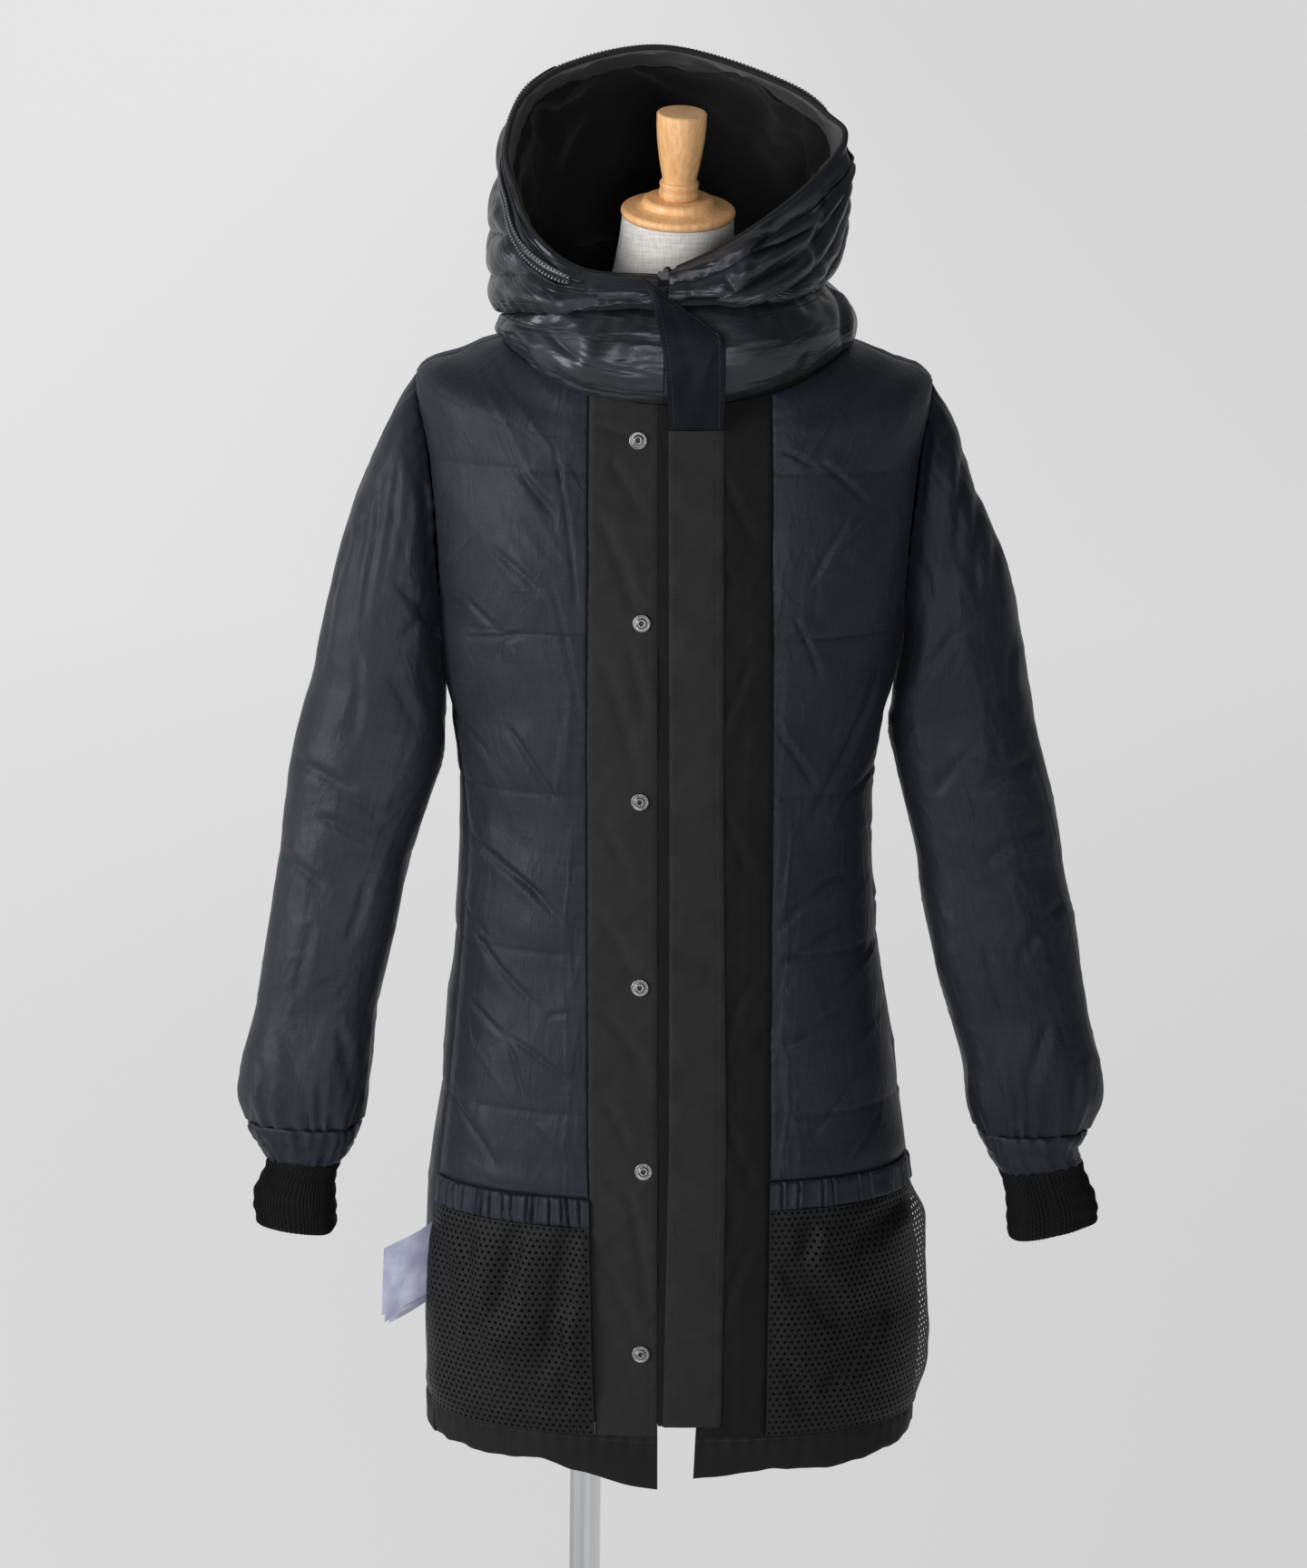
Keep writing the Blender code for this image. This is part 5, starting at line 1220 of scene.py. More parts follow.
def sleevePoints(side, turns, sections):
    c, s = np.cos(np.radians(turns)), np.sin(np.radians(turns))
    reach = np.where(s > 0, coatShape["armholeFront"], coatShape["armholeBack"])
    under, top = coatShape["underarm"], coatShape["shoulder"]
    rows = [coatFace(sideSign[side] * (90 - reach * s), under + (top - under) * (1 + c) / 2)]
    turned = sleeve["turned"][side] * c * np.clip(s, 0, 1)
    power = np.where(s > 0, sleeve["frontRoundness"], sleeve["roundness"])
    c, s = signedPower(c, sleeve["roundness"]), signedPower(s, power)
    for outX, outZ, inX, inZ, forward, halfDepth in np.array(sleeveSections[side]) / 1000:
        x = (outX + inX) / 2 + (outX - inX) / 2 * c
        z = (outZ + inZ) / 2 + (outZ - inZ) / 2 * c
        rows.append(np.stack((sideSign[side] * x, -forward - halfDepth * s + turned, z), -1))
    rows = np.array(rows)
    return alongRows(rows.reshape(len(rows), -1), sections).reshape(len(sections), -1, 3)


def sleeveRings(side, start, end, columns, spacing):
    turns = np.arange(columns) * 360.0 / columns
    dense = np.linspace(start, end, 400)
    run = runLengths(sleevePoints(side, turns, dense), 0).mean(1)
    count = max(3, int(round(run[-1] / spacing)) + 1)
    points = sleevePoints(side, turns, np.interp(np.linspace(0, run[-1], count), run, dense))
    return points, points - points.mean(1, keepdims=True)


def ringNoise(turn, along, size, seed):
    # round the arm, so that the noise meets itself at the seam
    return layeredNoise(0.05 * np.cos(turn) + 0 * along, 0.05 * np.sin(turn) + along, size, seed, 2)


for side in sideSign:
    seed = 101 if side == "right" else 131
    points, outward = sleeveRings(side, 0.0, sleeve["bandStart"], sleeve["columns"], sleeve["spacing"])
    x, z = points[..., 0], points[..., 2]
    run = runLengths(np.concatenate((points, points[:, :1]), 1), 1)[:, :-1]
    girth = run.max(1, keepdims=True) * 1.01
    along = runLengths(points, 0).mean(1, keepdims=True) + 0 * x
    toEnd = along.max() - along
    turn = run / girth * 2 * math.pi
    ringX, ringY = 0.06 * np.cos(turn), 0.06 * np.sin(turn) + along
    bulge, offLine = quiltBulge(along, 0.0016)
    relief = 0.65 * creases(x, z, sleeve[side], 1.25) + 0.002 * layeredNoise(ringX * 1.4, ringY, 0.08, seed, 2)
    relief += bulge * smooth(along / 0.03) * smooth(toEnd / 0.03)
    relief += 0.0007 * fineFolds(ringX * 2, along + 0.1 * np.sin(turn), 76, 4.0, 0.026, seed + 1)
    relief += 0.0004 * fineFolds(ringX * 2, along, 20, 2.5, 0.022, seed + 2)
    gathered = np.exp(-toEnd / 0.03)
    relief += 0.0022 * gathered * np.sin(turn * 19 + 2.2 * np.sin(turn * 3 + 1) + 1.3 * np.sin(turn * 7))
    relief += 0.0012 * np.exp(-along / 0.014) * np.sin(turn * 31 + 2 * np.sin(turn * 5))
    relief += turnedEdge(np.minimum(along, toEnd), 0.0035, 0.0018)
    inwards = -np.cos(np.arange(sleeve["columns"]) * 2 * math.pi / sleeve["columns"])
    relief = pressed(relief, smooth(inwards * 4 - 2.6), x, z)
    # each sleeve takes its own lit or shaded copy of the lining: painted light and shade
    clothPiece(f"sleeveLining_{side}", points, sleeve["wall"], relief, f"sleeve_{side}", [f"sleeve_{side}"],
               f"frontLining_{side}", closed=True, outward=outward)

    columns = sleeve["bandColumns"]
    points, outward = sleeveRings(side, sleeve["bandStart"], sleeve["bandEnd"], columns, sleeve["spacing"])
    turn = np.linspace(0, 2 * math.pi, columns, endpoint=False)[None]
    along = runLengths(points, 0).mean(1, keepdims=True) + 0 * turn
    share = along / along.max()
    lean = 0.35 * np.sin(turn * 4 + 1.0) * (share - 0.5) * 2
    wave = np.sin(turn * 21 + 2.4 * np.sin(turn * 3 + 0.5) + 1.2 * np.sin(turn * 8) + 3 * lean)
    relief = 0 * along + 0.0011 + 0.0016 * wave * (0.55 + 0.45 * np.sin(turn * 5 + share * 4))
    relief += 0.0013 * ringNoise(turn, along, 0.012, seed + 5)
    relief -= 0.0016 * bump(share - 0.48 + 0.05 * np.sin(turn * 2), 0.07)
    relief += turnedEdge(np.minimum(along, along.max() - along), 0.0035, 0.0018)
    clothPiece(f"sleeveBand_{side}", points, sleeve["bandWall"], relief, "lining", [f"sleeve_band_{side}"],
               f"sleeveLining_{side}", "gathered", closed=True, outward=outward, least=0.0008)

    columns = sleeve["ribs"] * 4
    points, outward = sleeveRings(side, sleeve["bandEnd"], float(len(sleeveSections[side])), columns,
                                  sleeve["ribSpacing"])
    turn = np.arange(columns)[None] * 2 * math.pi / columns
    along = runLengths(points, 0).mean(1, keepdims=True) + 0 * turn
    relief = 0.0005 + 0.00055 * np.sin(turn * sleeve["ribs"]) + 0 * along
    relief += 0.0008 * ringNoise(turn, along, 0.03, seed + 8)
    relief += 0.0007 * np.sin(along / 0.0135 * 2 * math.pi + 1.2 * np.sin(turn * 2))
    relief += turnedEdge(along.max() - along, 0.003, 0.0014)
    clothPiece(f"ribCuff_{side}", points, sleeve["ribWall"], relief, "knit", [f"rib_cuff_{side}"],
               f"sleeveBand_{side}", "stretched", closed=True, outward=outward)
print("sleeves ready")


# collar and hood

# round from the zip by the wearer's left, in degrees and millimetres: angle, crease x y z, the collar's
# swing low and high, rim x y z, the hood's swing and rise at its foot, the same at its rim
hoodStations = np.array([
    (0, -11, -120, 1401, 28, 20, -8, -105, 1430, 10, 8, 10, -6),
    (25, 50, -113, 1405, 28, 22, 30, -103, 1447, 16, 8, 10, -14),
    (50, 88, -88, 1410, 20, 22, 70, -88, 1470, 22, 8, 10, -24),
    (72, 106, -45, 1413, 14, 22, 107, -62, 1497, 21, 10, 1, -30),
    (90, 110, 0, 1415, 12, 20, 135.5, -30, 1528, 22, 10, -7, -30),
    (110, 106, 35, 1417, 14, 18, 127, -8, 1546, 29, 12, 7, -22),
    (140, 78, 78, 1424, 18, 18, 84, 14, 1575, 62, 16, 76, -14),
    (180, 0, 100, 1430, 20, 18, -12, 30, 1603, 90, 20, 140, -10),
    (220, -85, 80, 1418, 18, 16, -90, 20, 1590, 64, 18, 82, -14),
    (250, -128, 40, 1400, 12, 12, -133, 0, 1563, 28, 14, 14, -24),
    (270, -144, 0, 1384, 6, 6, -147.5, -25, 1522, 13, 10, -2, -35),
    (288, -138, -45, 1386, 12, 10, -141, -52, 1494, 15, 10, 0, -30),
    (310, -112, -88, 1393, 20, 16, -122, -80, 1456, 18, 8, 6, -20),
    (335, -64, -113, 1398, 28, 22, -80, -100, 1429, 14, 8, 10, -10),
    (360, -13, -120, 1399, 28, 20, -10, -106, 1425, 10, 8, 10, -6),
], float)
hoodStations[:, 1:] /= 1000
hood = {
    "wall": 0.004, "liner": 0.0015, "facing": 0.045, "columns": 300, "handle": 0.012, "foot": 0.0007,
    "zipShift": -0.013, "ringRadius": 0.125, "ruffSpan": (35.0, 330.0), "teeth": 0.0032,
}
up = np.array((0.0, 0.0, 1.0))


def bezier(a, b, c, d, t):
    s = 1 - t
    return a * s ** 3 + 3 * b * s * s * t + 3 * c * s * t * t + d * t ** 3


def stationRow(angle):
    place = np.interp(angle, hoodStations[:, 0], np.arange(len(hoodStations)))
    return alongRows(hoodStations, place)


def outwardAt(angle):
    return np.stack((np.sin(np.radians(angle)), -np.cos(np.radians(angle)), 0 * angle), -1)


def collarFace(angle, rise):
    angle = angle + 0 * rise
    row, out = stationRow(angle), outwardAt(angle)
    foot = coatFace(angle, angle * 0 + coatShape["neckline"]) + up * hood["foot"]
    foot[..., 0] += hood["zipShift"] * np.clip(np.cos(np.radians(angle)), 0, 1) ** 3
    top = row[..., 1:4]
    handle = up * np.minimum(hood["handle"], (top[..., 2] - foot[..., 2]) * 0.3)[..., None]
    return bezier(foot, foot + out * row[..., 4:5] + handle, top + out * row[..., 5:6] - handle, top,
                  (rise + 0 * angle)[..., None])


def hoodFace(angle, rise):
    angle = angle + 0 * rise
    row, out = stationRow(angle), outwardAt(angle)
    foot, rim = row[..., 1:4] + up * gap * 2, row[..., 6:9]
    return bezier(foot, foot + out * row[..., 9:10] + up * row[..., 10:11],
                  rim + out * row[..., 11:12] + up * row[..., 12:13], rim, (rise + 0 * angle)[..., None])


def riseBelowRim(angles, distance, least=0.15):
    rises = np.linspace(1, 0, 121)
    run = runLengths(hoodFace(angles[None], rises[:, None]), 0)
    return np.array([max(np.interp(distance, run[:, k], rises), least) for k in range(len(angles))])


def ringMetres(angle):
    return np.radians(angle) * hood["ringRadius"]


def rolls(along, valleys):
    # padded rolls between sewn valleys
    i = np.clip(np.searchsorted(valleys, along, side="right") - 1, 0, len(valleys) - 2)
    low, high = np.asarray(valleys)[i], np.asarray(valleys)[i + 1]
    return np.sin(math.pi * np.clip((along - low) / (high - low), 0, 1)) ** 0.65


collarLook = {
    "rows": 60, "rise": 0.0034,
    # along the collar and up it; the zip is at 0 and 785
    "creases": (
        (782, 34, 690, 46, 1, 0.5), (782, 14, 712, 18, 1, 0.5), (720, 4, 670, 12, 2, 0.9), (80, 4, 10, 12, 2, 0.9),
        (180, 56, 130, 16, 3, 1.5), (250, 14, 300, 40, 2, 1.1), (340, 40, 390, 16, 2, 1.1),
        (440, 14, 480, 40, 2, 1.1), (540, 50, 580, 18, 2, 1.2),
    ),
    "swell": {"pressure": 3.0, "spare": 0.024, "stretch": 15.0, "bending": 2.0, "quality": 5, "frames": 22,
              "most": 0.007, "easing": 5},
}
angles = np.linspace(0, 360, 331)
rises = np.linspace(0, 1, collarLook["rows"])
points = collarFace(angles[None], rises[:, None])
along = runLengths(points, 0)
ring = ringMetres(angles)[None] + 0 * along
share = rises[:, None] + 0 * ring
edge = np.minimum(along, along[-1:] - along)
fromZip = np.minimum(ring, ring.max() - ring)
relief = (collarLook["rise"] * np.sin(math.pi * share) ** 0.7
          + 0.9 * creases(ring, along, collarLook["creases"], 1.1))
relief += 0.0016 * layeredNoise(ring, along, 0.06, 151, 2) * smooth(edge / 0.012)
relief += (0.001 * fineFolds(ring, along, -5, 9.0, 0.012, 155) * smooth(edge / 0.006)
           * (0.25 + 0.75 * bump(fromZip, 0.09)))
relief += puckers(edge, ring, 0.009, 0.0009, 0.016, 153) + turnedEdge(edge, 0.0045, 0.0026)
sewn = np.maximum(smooth(1 - edge / 0.0045), smooth(1 - fromZip / 0.006))
collarPiece = shellPiece("collarShell", points, hood["wall"], relief, "nylon", ["collar"], sewn=sewn,
                         look=collarLook["swell"])[0]
print("collar ready")

hoodLook = {
    "rightRolls": (-0.002, 0.03, 0.066, 0.104, 0.145, 0.19), "rightRise": 0.008, "leftPitch": 0.0165,
    "leftRise": 0.0098, "backPitch": 0.046, "backRise": 0.006,
    "creases": (
        # fans from the foot of the ruff's zip on the wearer's right, ridges on the left
        (722, 26, 640, 74, 4, 0.9), (722, 22, 650, 52, 3, 0.9), (720, 16, 655, 32, 2, 0.8),
        (724, 30, 640, 98, 3, 0.8), (730, 12, 775, 8, 1, 0.6), (735, 22, 778, 18, 1, 0.6),
        (60, 20, 130, 74, 3, 1), (50, 10, 110, 32, 3, 1), (120, 20, 175, 80, 4, 1),
    ),
    "swell": {"pressure": 2.0, "spare": 0.03, "stretch": 15.0, "bending": 0.6, "quality": 5, "frames": 22,
              "most": 0.008, "easing": 1},
}
angles = np.linspace(0, 360, hood["columns"] + 1)
facingWidth = hood["facing"] + 0.009 * smooth((angles - 110) / 30) * smooth((250 - angles) / 30)
facingWidth -= 0.028 * bump(angles - 158, 6.0)
rimEdge = np.array([riseBelowRim(angles[k:k + 1], width)[0] for k, width in enumerate(facingWidth)])
share = np.concatenate((np.linspace(0, 1, 38)[:, None] * rimEdge,
                        rimEdge + np.linspace(0, 1, 21)[1:, None] * (1 - rimEdge)))
points = hoodFace(angles[None], share)
along = runLengths(points, 0)
fromRim = along[-1:] - along
ring = ringMetres(angles)[None] + 0 * along
degrees = angles[None] + 0 * along
onRight = smooth((degrees - 205) / 40)
onLeft = smooth((165 - degrees) / 50)
wander = 0.006 * softNoise(ring, along * 0.5, 0.07, 161) + 0.002 * softNoise(ring, along, 0.02, 162)
low = np.clip(along + wander * smooth(along / 0.02), 0, None)
relief = hoodLook["rightRise"] * onRight * rolls(low, hoodLook["rightRolls"]) * smooth((fromRim - 0.024) / 0.02)
drift = 0.005 * softNoise(ring, along * 0.3, 0.13, 167)
fromFirst = fromRim + drift * smooth((fromRim - 0.02) / 0.02) - 0.019
crest = np.abs(np.sin(math.pi * fromFirst / hoodLook["leftPitch"])) ** 0.75
atBack = smooth((degrees - 105) / 20) * smooth((245 - degrees) / 20)
nearRim = 0.003 + 0.033 * smooth((degrees - 85) / 30)
relief += (hoodLook["leftRise"] * onLeft * crest * (0.75 + 0.25 * softNoise(ring, along, 0.07, 166))
           * smooth((fromRim - nearRim) / (0.006 + nearRim)))
backShare = (1 - onLeft) * (1 - onRight)
backRolls = np.abs(np.sin(math.pi * (along + wander) / hoodLook["backPitch"])) ** 0.6
relief += hoodLook["backRise"] * backShare * backRolls * smooth((fromRim - 0.05) / 0.08)
relief *= smooth(along / 0.004)
relief += 0.9 * creases(ring, along, hoodLook["creases"], 1.3)
relief += (0.0022 * layeredNoise(ring, along, 0.05, 163, 2) * smooth((fromRim - 0.01 - 0.04 * atBack) / 0.03)
           * smooth(along / 0.01))
relief -= 0.003 * atBack * smooth((fromRim - 0.007) / 0.005) * smooth((0.032 - fromRim) / 0.006)
relief += puckers(along, ring, 0.01, 0.001, 0.013, 165)
relief += turnedEdge(along, 0.0045, 0.0026) + turnedEdge(fromRim, 0.0026, 0.002)
flatRim = 0.01 + 0.024 * smooth((degrees - 80) / 25) + 0.03 * atBack
sewn = np.maximum.reduce((smooth(1 - along / 0.0045), smooth((flatRim - fromRim) / 0.008),
                          smooth(1 - np.minimum(ring, ring.max() - ring) / 0.006)))
hoodPiece, hoodOuter, hoodNormals = shellPiece("hoodShell", points, hood["wall"], relief, "nylon", ["hood_outer"],
                                               sewn=sewn, look=hoodLook["swell"])
print("hood ready")


inHood = {
    "lining": ((300, 60, 330, 190, 6, 2.4), (345, 110, 352, 210, 4, 2.2), (460, 80, 430, 190, 6, 2.2),
               (240, 50, 280, 150, 4, 2.0), (270, 120, 330, 175, 4, 2.0), (560, 40, 540, 110, 4, 1.8),
               (500, 150, 420, 175, 5, 2.0)),
    "facing": ((326, 40, 346, 2, 2, 1.6), (372, 44, 350, 4, -2, 1.6), (450, 40, 470, 4, 2, 1.4)),
}


def insideHood(name, share, relief, finish, nodes):
    points = setBack(hoodFace(angles[None], share))
    normals = gridNormals(points, awayFromMiddle(points))
    outer = points - normals * (hood["wall"] + 2 * gap)
    inner = outer - normals * (hood["liner"] + np.maximum(relief, -0.0007))[..., None]
    cutSize(buildShell(name, inner, outer, finish, nodes), points)


linerShare = np.linspace(0, 1, 34)[:, None] * rimEdge
points = hoodFace(angles[None], linerShare)
ring, along = ringMetres(angles)[None] + 0 * linerShare, runLengths(points, 0)
relief = 0.0055 * layeredNoise(ring, along, 0.07, 171) + 0.006 * fineFolds(ring, along, 62, 2.2, 0.055, 172, 2)
relief += 0.0045 + 1.4 * creases(ring, along, inHood["lining"], 1.5)
relief += turnedEdge(along[-1:] - along, 0.003, 0.0012)
insideHood("hoodLiner", linerShare, relief, "hoodCloth", ["hood_lining"])
facingShare = rimEdge + np.linspace(0, 1, 16)[:, None] * (1 - rimEdge)
points = hoodFace(angles[None], facingShare)
ring, along = ringMetres(angles)[None] + 0 * facingShare, runLengths(points, 0)
relief = (0.0012 + 0.0022 * layeredNoise(ring, along, 0.05, 175)
          + 0.0022 * fineFolds(ring, along, 70, 2.0, 0.04, 176))
relief += puckers(along, ring, 0.008, 0.0014, 0.018, 177)
relief += creases(ring, along, inHood["facing"], 1.3)
relief += turnedEdge(np.minimum(along, along[-1:] - along), 0.0026, 0.0012)
insideHood("hoodFacing", facingShare, relief, "band", ["hood_facing"])
print("collar and hood ready")


# thin trim round the hood: piping on the rim and the ruff's zip

def tubeAlong(name, path, radius, sides, finish):
    path = np.asarray(path)
    forward = np.gradient(path, axis=0)
    forward /= np.linalg.norm(forward, axis=1, keepdims=True)
    side = np.cross(forward, up + 0.3 * np.array((0.2, -1.0, 0)))
    side /= np.linalg.norm(side, axis=1, keepdims=True)
    other = np.cross(forward, side)
    turns = np.linspace(0, 2 * math.pi, sides, endpoint=False)
    rings = path[:, None] + radius * (side[:, None] * np.cos(turns)[None, :, None]
                                      + other[:, None] * np.sin(turns)[None, :, None])
    faces = tubeFaces(len(path), sides) + tubeEnds(len(path), sides)
    mesh = newMesh(name, (rings.reshape(-1, 3) + (coatX, 0, 0)).tolist(), faces)
    loops = np.array([v for face in faces for v in face])
    run = runLengths(path[None], 1)[0]
    layFlat(mesh, np.stack((run[loops // sides], (loops % sides) * radius), -1))
    return addPiece(name, mesh, finish)


trimLook = {"bindingIn": 0.0056, "binding": 0.0038, "rimIn": 0.0028, "rimPiping": 0.0022, "piping": 0.001,
            "pipingSpan": (225, 335), "tapeThick": 0.0008, "tapeStep": 0.002, "tapeRows": 0.006}
for name, face in (("hoodSeamBinding", hoodFace), ("collarSeamBinding", collarFace)):
    line = face(angles[None], np.array([[0.0], [0.02], [0.04]]))
    line = line[0] - gridNormals(line, awayFromMiddle(line))[0] * trimLook["bindingIn"]
    tubeAlong(name, line[1:-1], trimLook["binding"], 8, "hoodCloth")


# flat tapes inside, which close the seams to light
def roundTape(name, below, above, depth):
    out = np.concatenate((gridNormals(below, awayFromMiddle(below)), gridNormals(above, awayFromMiddle(above))))
    out[2:6] = (out[2] + (out[5] - out[2]) * np.linspace(0, 1, 4)[:, None, None])
    out /= np.linalg.norm(out, axis=-1, keepdims=True)
    points = np.concatenate((below, above)) - out * depth
    tape = buildShell(name, points - out * trimLook["tapeThick"], points, "hoodCloth")
    cutSize(tape, points)


neckLevels = coatShape["neckline"] - np.linspace(0.3, 0.02, 4)[:, None] + 0 * angles
roundTape("collarTape", coatFace(angles[None] + 0 * neckLevels, neckLevels),
          collarFace(angles[None], np.linspace(0.01, 0.12, 4)[:, None]), hood["wall"] + 3 * gap)
roundTape("neckTape", collarFace(angles[None], np.linspace(0.86, 0.99, 4)[:, None]),
          hoodFace(angles[None], np.linspace(0.01, 0.1, 4)[:, None]), hood["wall"] + hood["liner"] + 0.0022)


def seamTape(name, points, depth):
    points = points - gridNormals(points, awayFromMiddle(points)) * depth
    inner = points - gridNormals(points, awayFromMiddle(points)) * trimLook["tapeThick"]
    cutSize(buildShell(name, points, inner, "hoodCloth"), points)


for side, top in (("right", coatShape["pocketTop"]["right"]), ("left", coatShape["pocketTop"]["left"]),
                  ("rightEdge", 1.29), ("leftEdge", 1.29)):
    levels = levelsBetween(levelAt(coatShape["flapBottom"] + 0.001), levelAt(top), trimLook["tapeRows"])
    atEdge = side.endswith("Edge")
    middle = edgeAngle(f"edge{side[:-4].title()}" if atEdge else f"seam{side.title()}", levels)
    seamTape(f"seamTape_{side}", bodyPoints(levels, middle - 2, middle + 2, trimLook["tapeStep"]),
             shell["wall"] + gap)
sideLevels = levelsBetween(hemTop, levelAt(0.7), trimLook["tapeRows"])
for side in sideSign:
    for name, levels, face, wall, restsOn in (("sideTape", sideLevels, coatFace, back["wall"], "backLining"),
                                              ("hemTape", hemLevels, hemFace, hem["wall"], "hemBand_back")):
        middle = sideAngle(side, levels)
        points = bodyPoints(levels, middle - 3, middle + 3, trimLook["tapeStep"], face)
        seamTape(f"{name}_{side}", points, wall + 2 * gap)

# behind the back half of each armhole, from the body onto the sleeve
turns = np.linspace(198, 342, 70)
s, c = np.sin(np.radians(turns)), np.cos(np.radians(turns))
under, top = coatShape["underarm"], coatShape["shoulder"]
for side in sideSign:
    rows = [coatFace(sideSign[side] * (90 - wide * coatShape["armholeBack"] * s),
                     under + (top - under) * (1 + c * wide) / 2) for wide in (1.3, 1.15, 1.0)]
    points = np.concatenate((rows, sleevePoints(side, turns, np.array((0.08, 0.16)))))
    seamTape(f"armholeTape_{side}", points, 0.0052)

rimPoints = setBack(hoodFace(angles[None], np.array([[0.985], [1.0]])))
rimMiddle = rimPoints[1] - gridNormals(rimPoints, awayFromMiddle(rimPoints))[1] * trimLook["rimIn"]
rimAhead = (rimPoints[1] - rimPoints[0]) / np.linalg.norm(rimPoints[1] - rimPoints[0], axis=-1, keepdims=True)
tubeAlong("rimPiping", (rimMiddle + rimAhead * 0.0006)[2:-2], trimLook["rimPiping"], 8, "twill")
spanned = (angles > trimLook["pipingSpan"][0]) & (angles < trimLook["pipingSpan"][1])
for number, row in enumerate((-4, -9, -13), 1):
    tubeAlong(f"hoodPiping{number}", (hoodOuter[row] + hoodNormals[row] * 0.0004)[spanned], trimLook["piping"], 6,
              "nylon")

ruffAngles = angles[(angles >= hood["ruffSpan"][0]) & (angles <= hood["ruffSpan"][1])]
narrowing = 0.3 + 0.7 * smooth((ruffAngles - 34) / 14) * smooth((331 - ruffAngles) / 5)
tapeShare = np.array([[riseBelowRim(ruffAngles[k:k + 1], 0.019 + d * narrow, 0.3)[0]
                       for k, narrow in enumerate(narrowing)] for d in np.linspace(0.005, -0.005, 5)])
fine = hoodFace(ruffAngles[None], tapeShare)
fineNormals = gridNormals(fine, awayFromMiddle(fine))
columnsOf = np.interp(ruffAngles, angles, np.arange(len(angles))).astype(int)
reliefOfHood = np.sum((hoodOuter - hoodFace(angles[None], share)) * hoodNormals, -1)
placeRow = np.array([[np.interp(tapeShare[i, k], share[:, column], np.arange(len(share)))
                      for k, column in enumerate(columnsOf)] for i in range(5)])
height = reliefOfHood[placeRow.astype(int), columnsOf]
for _ in range(2):
    height[:, 1:-1] = np.maximum.reduce((height[:, :-2], height[:, 1:-1], height[:, 2:]))
height = np.maximum(height, -0.003) + hood["liner"] + 3 * gap
tapeOuter = fine + fineNormals * height[..., None]
tapeInner = fine + fineNormals * (height - hood["liner"])[..., None]
tapePiece = buildShell("ruffZipTape", tapeOuter, tapeInner, "nylon", ["hood_zip_tape"])
cutSize(tapePiece, fine)


def toothRow(name, path, normals, side, finish):
    # one tooth: a rounded block that stands across the tape
    run = runLengths(path[None], 1)[0]
    points, faces = [], []
    for start in np.arange(hood["teeth"] / 2, run[-1], hood["teeth"]):
        place, normal = pointsAlong(path, run, start), pointsAlong(normals, run, start)
        ahead = pointsAlong(path, run, start + 0.001) - place
        ahead /= max(np.linalg.norm(ahead), 1e-9)
        across = np.cross(normal, ahead) * side
        faces += tubeFaces(3, 4, len(points)) + tubeEnds(3, 4, len(points))[1:]
        for high, half, reach in ((0.0, 0.00085, 0.0), (0.0012, 0.00085, 0.0), (0.0016, 0.0005, 0.0006)):
            for a, b in ((-1, 0), (1, 0), (1, 1), (-1, 1)):
                width = 0.0024 - 2 * reach
                points.append(place + normal * high + ahead * a * half + across * (reach + b * width))
    return addPiece(name, newMesh(name, (np.array(points) + (coatX, 0, 0)).tolist(), faces, 40), finish)


neckRises = np.linspace(0.02, 0.98, 30)[:, None]
ends = [np.concatenate((collarFace(np.array([[a]]), neckRises), hoodFace(np.array([[a]]), neckRises)))[:, 0]
        for a in (0.0, 360.0)]
middle = (ends[0] + ends[1]) / 2 + np.array((0, 0.0016, 0))
steps = np.linspace(-0.0085, 0.0085, 7)[None, :, None] * np.array((1.0, 0, 0))
points = middle[:, None] + steps
tape = buildShell("neckZipTape", points, points + np.array((0, 0.0012, 0)), "twillShaded")
cutSize(tape, points)
for number, side in enumerate((-1, 1), 1):
    toothRow(f"neckTeeth{number}", middle + np.array((0.0012 * side, -0.0004, 0)), middle * 0 + (0, -1.0, 0), side,
             "plastic")

showing = ruffAngles > 125
for number, (row, side) in enumerate(((1, -1), (3, 1)), 1):
    toothRow(f"ruffTeeth{number}", tapeOuter[row][showing], fineNormals[row][showing], side, "teeth")
print("ruff zip ready")


# stitching, snaps, slider and label

stitchRun("edgeStitching", stitchLines, "thread")

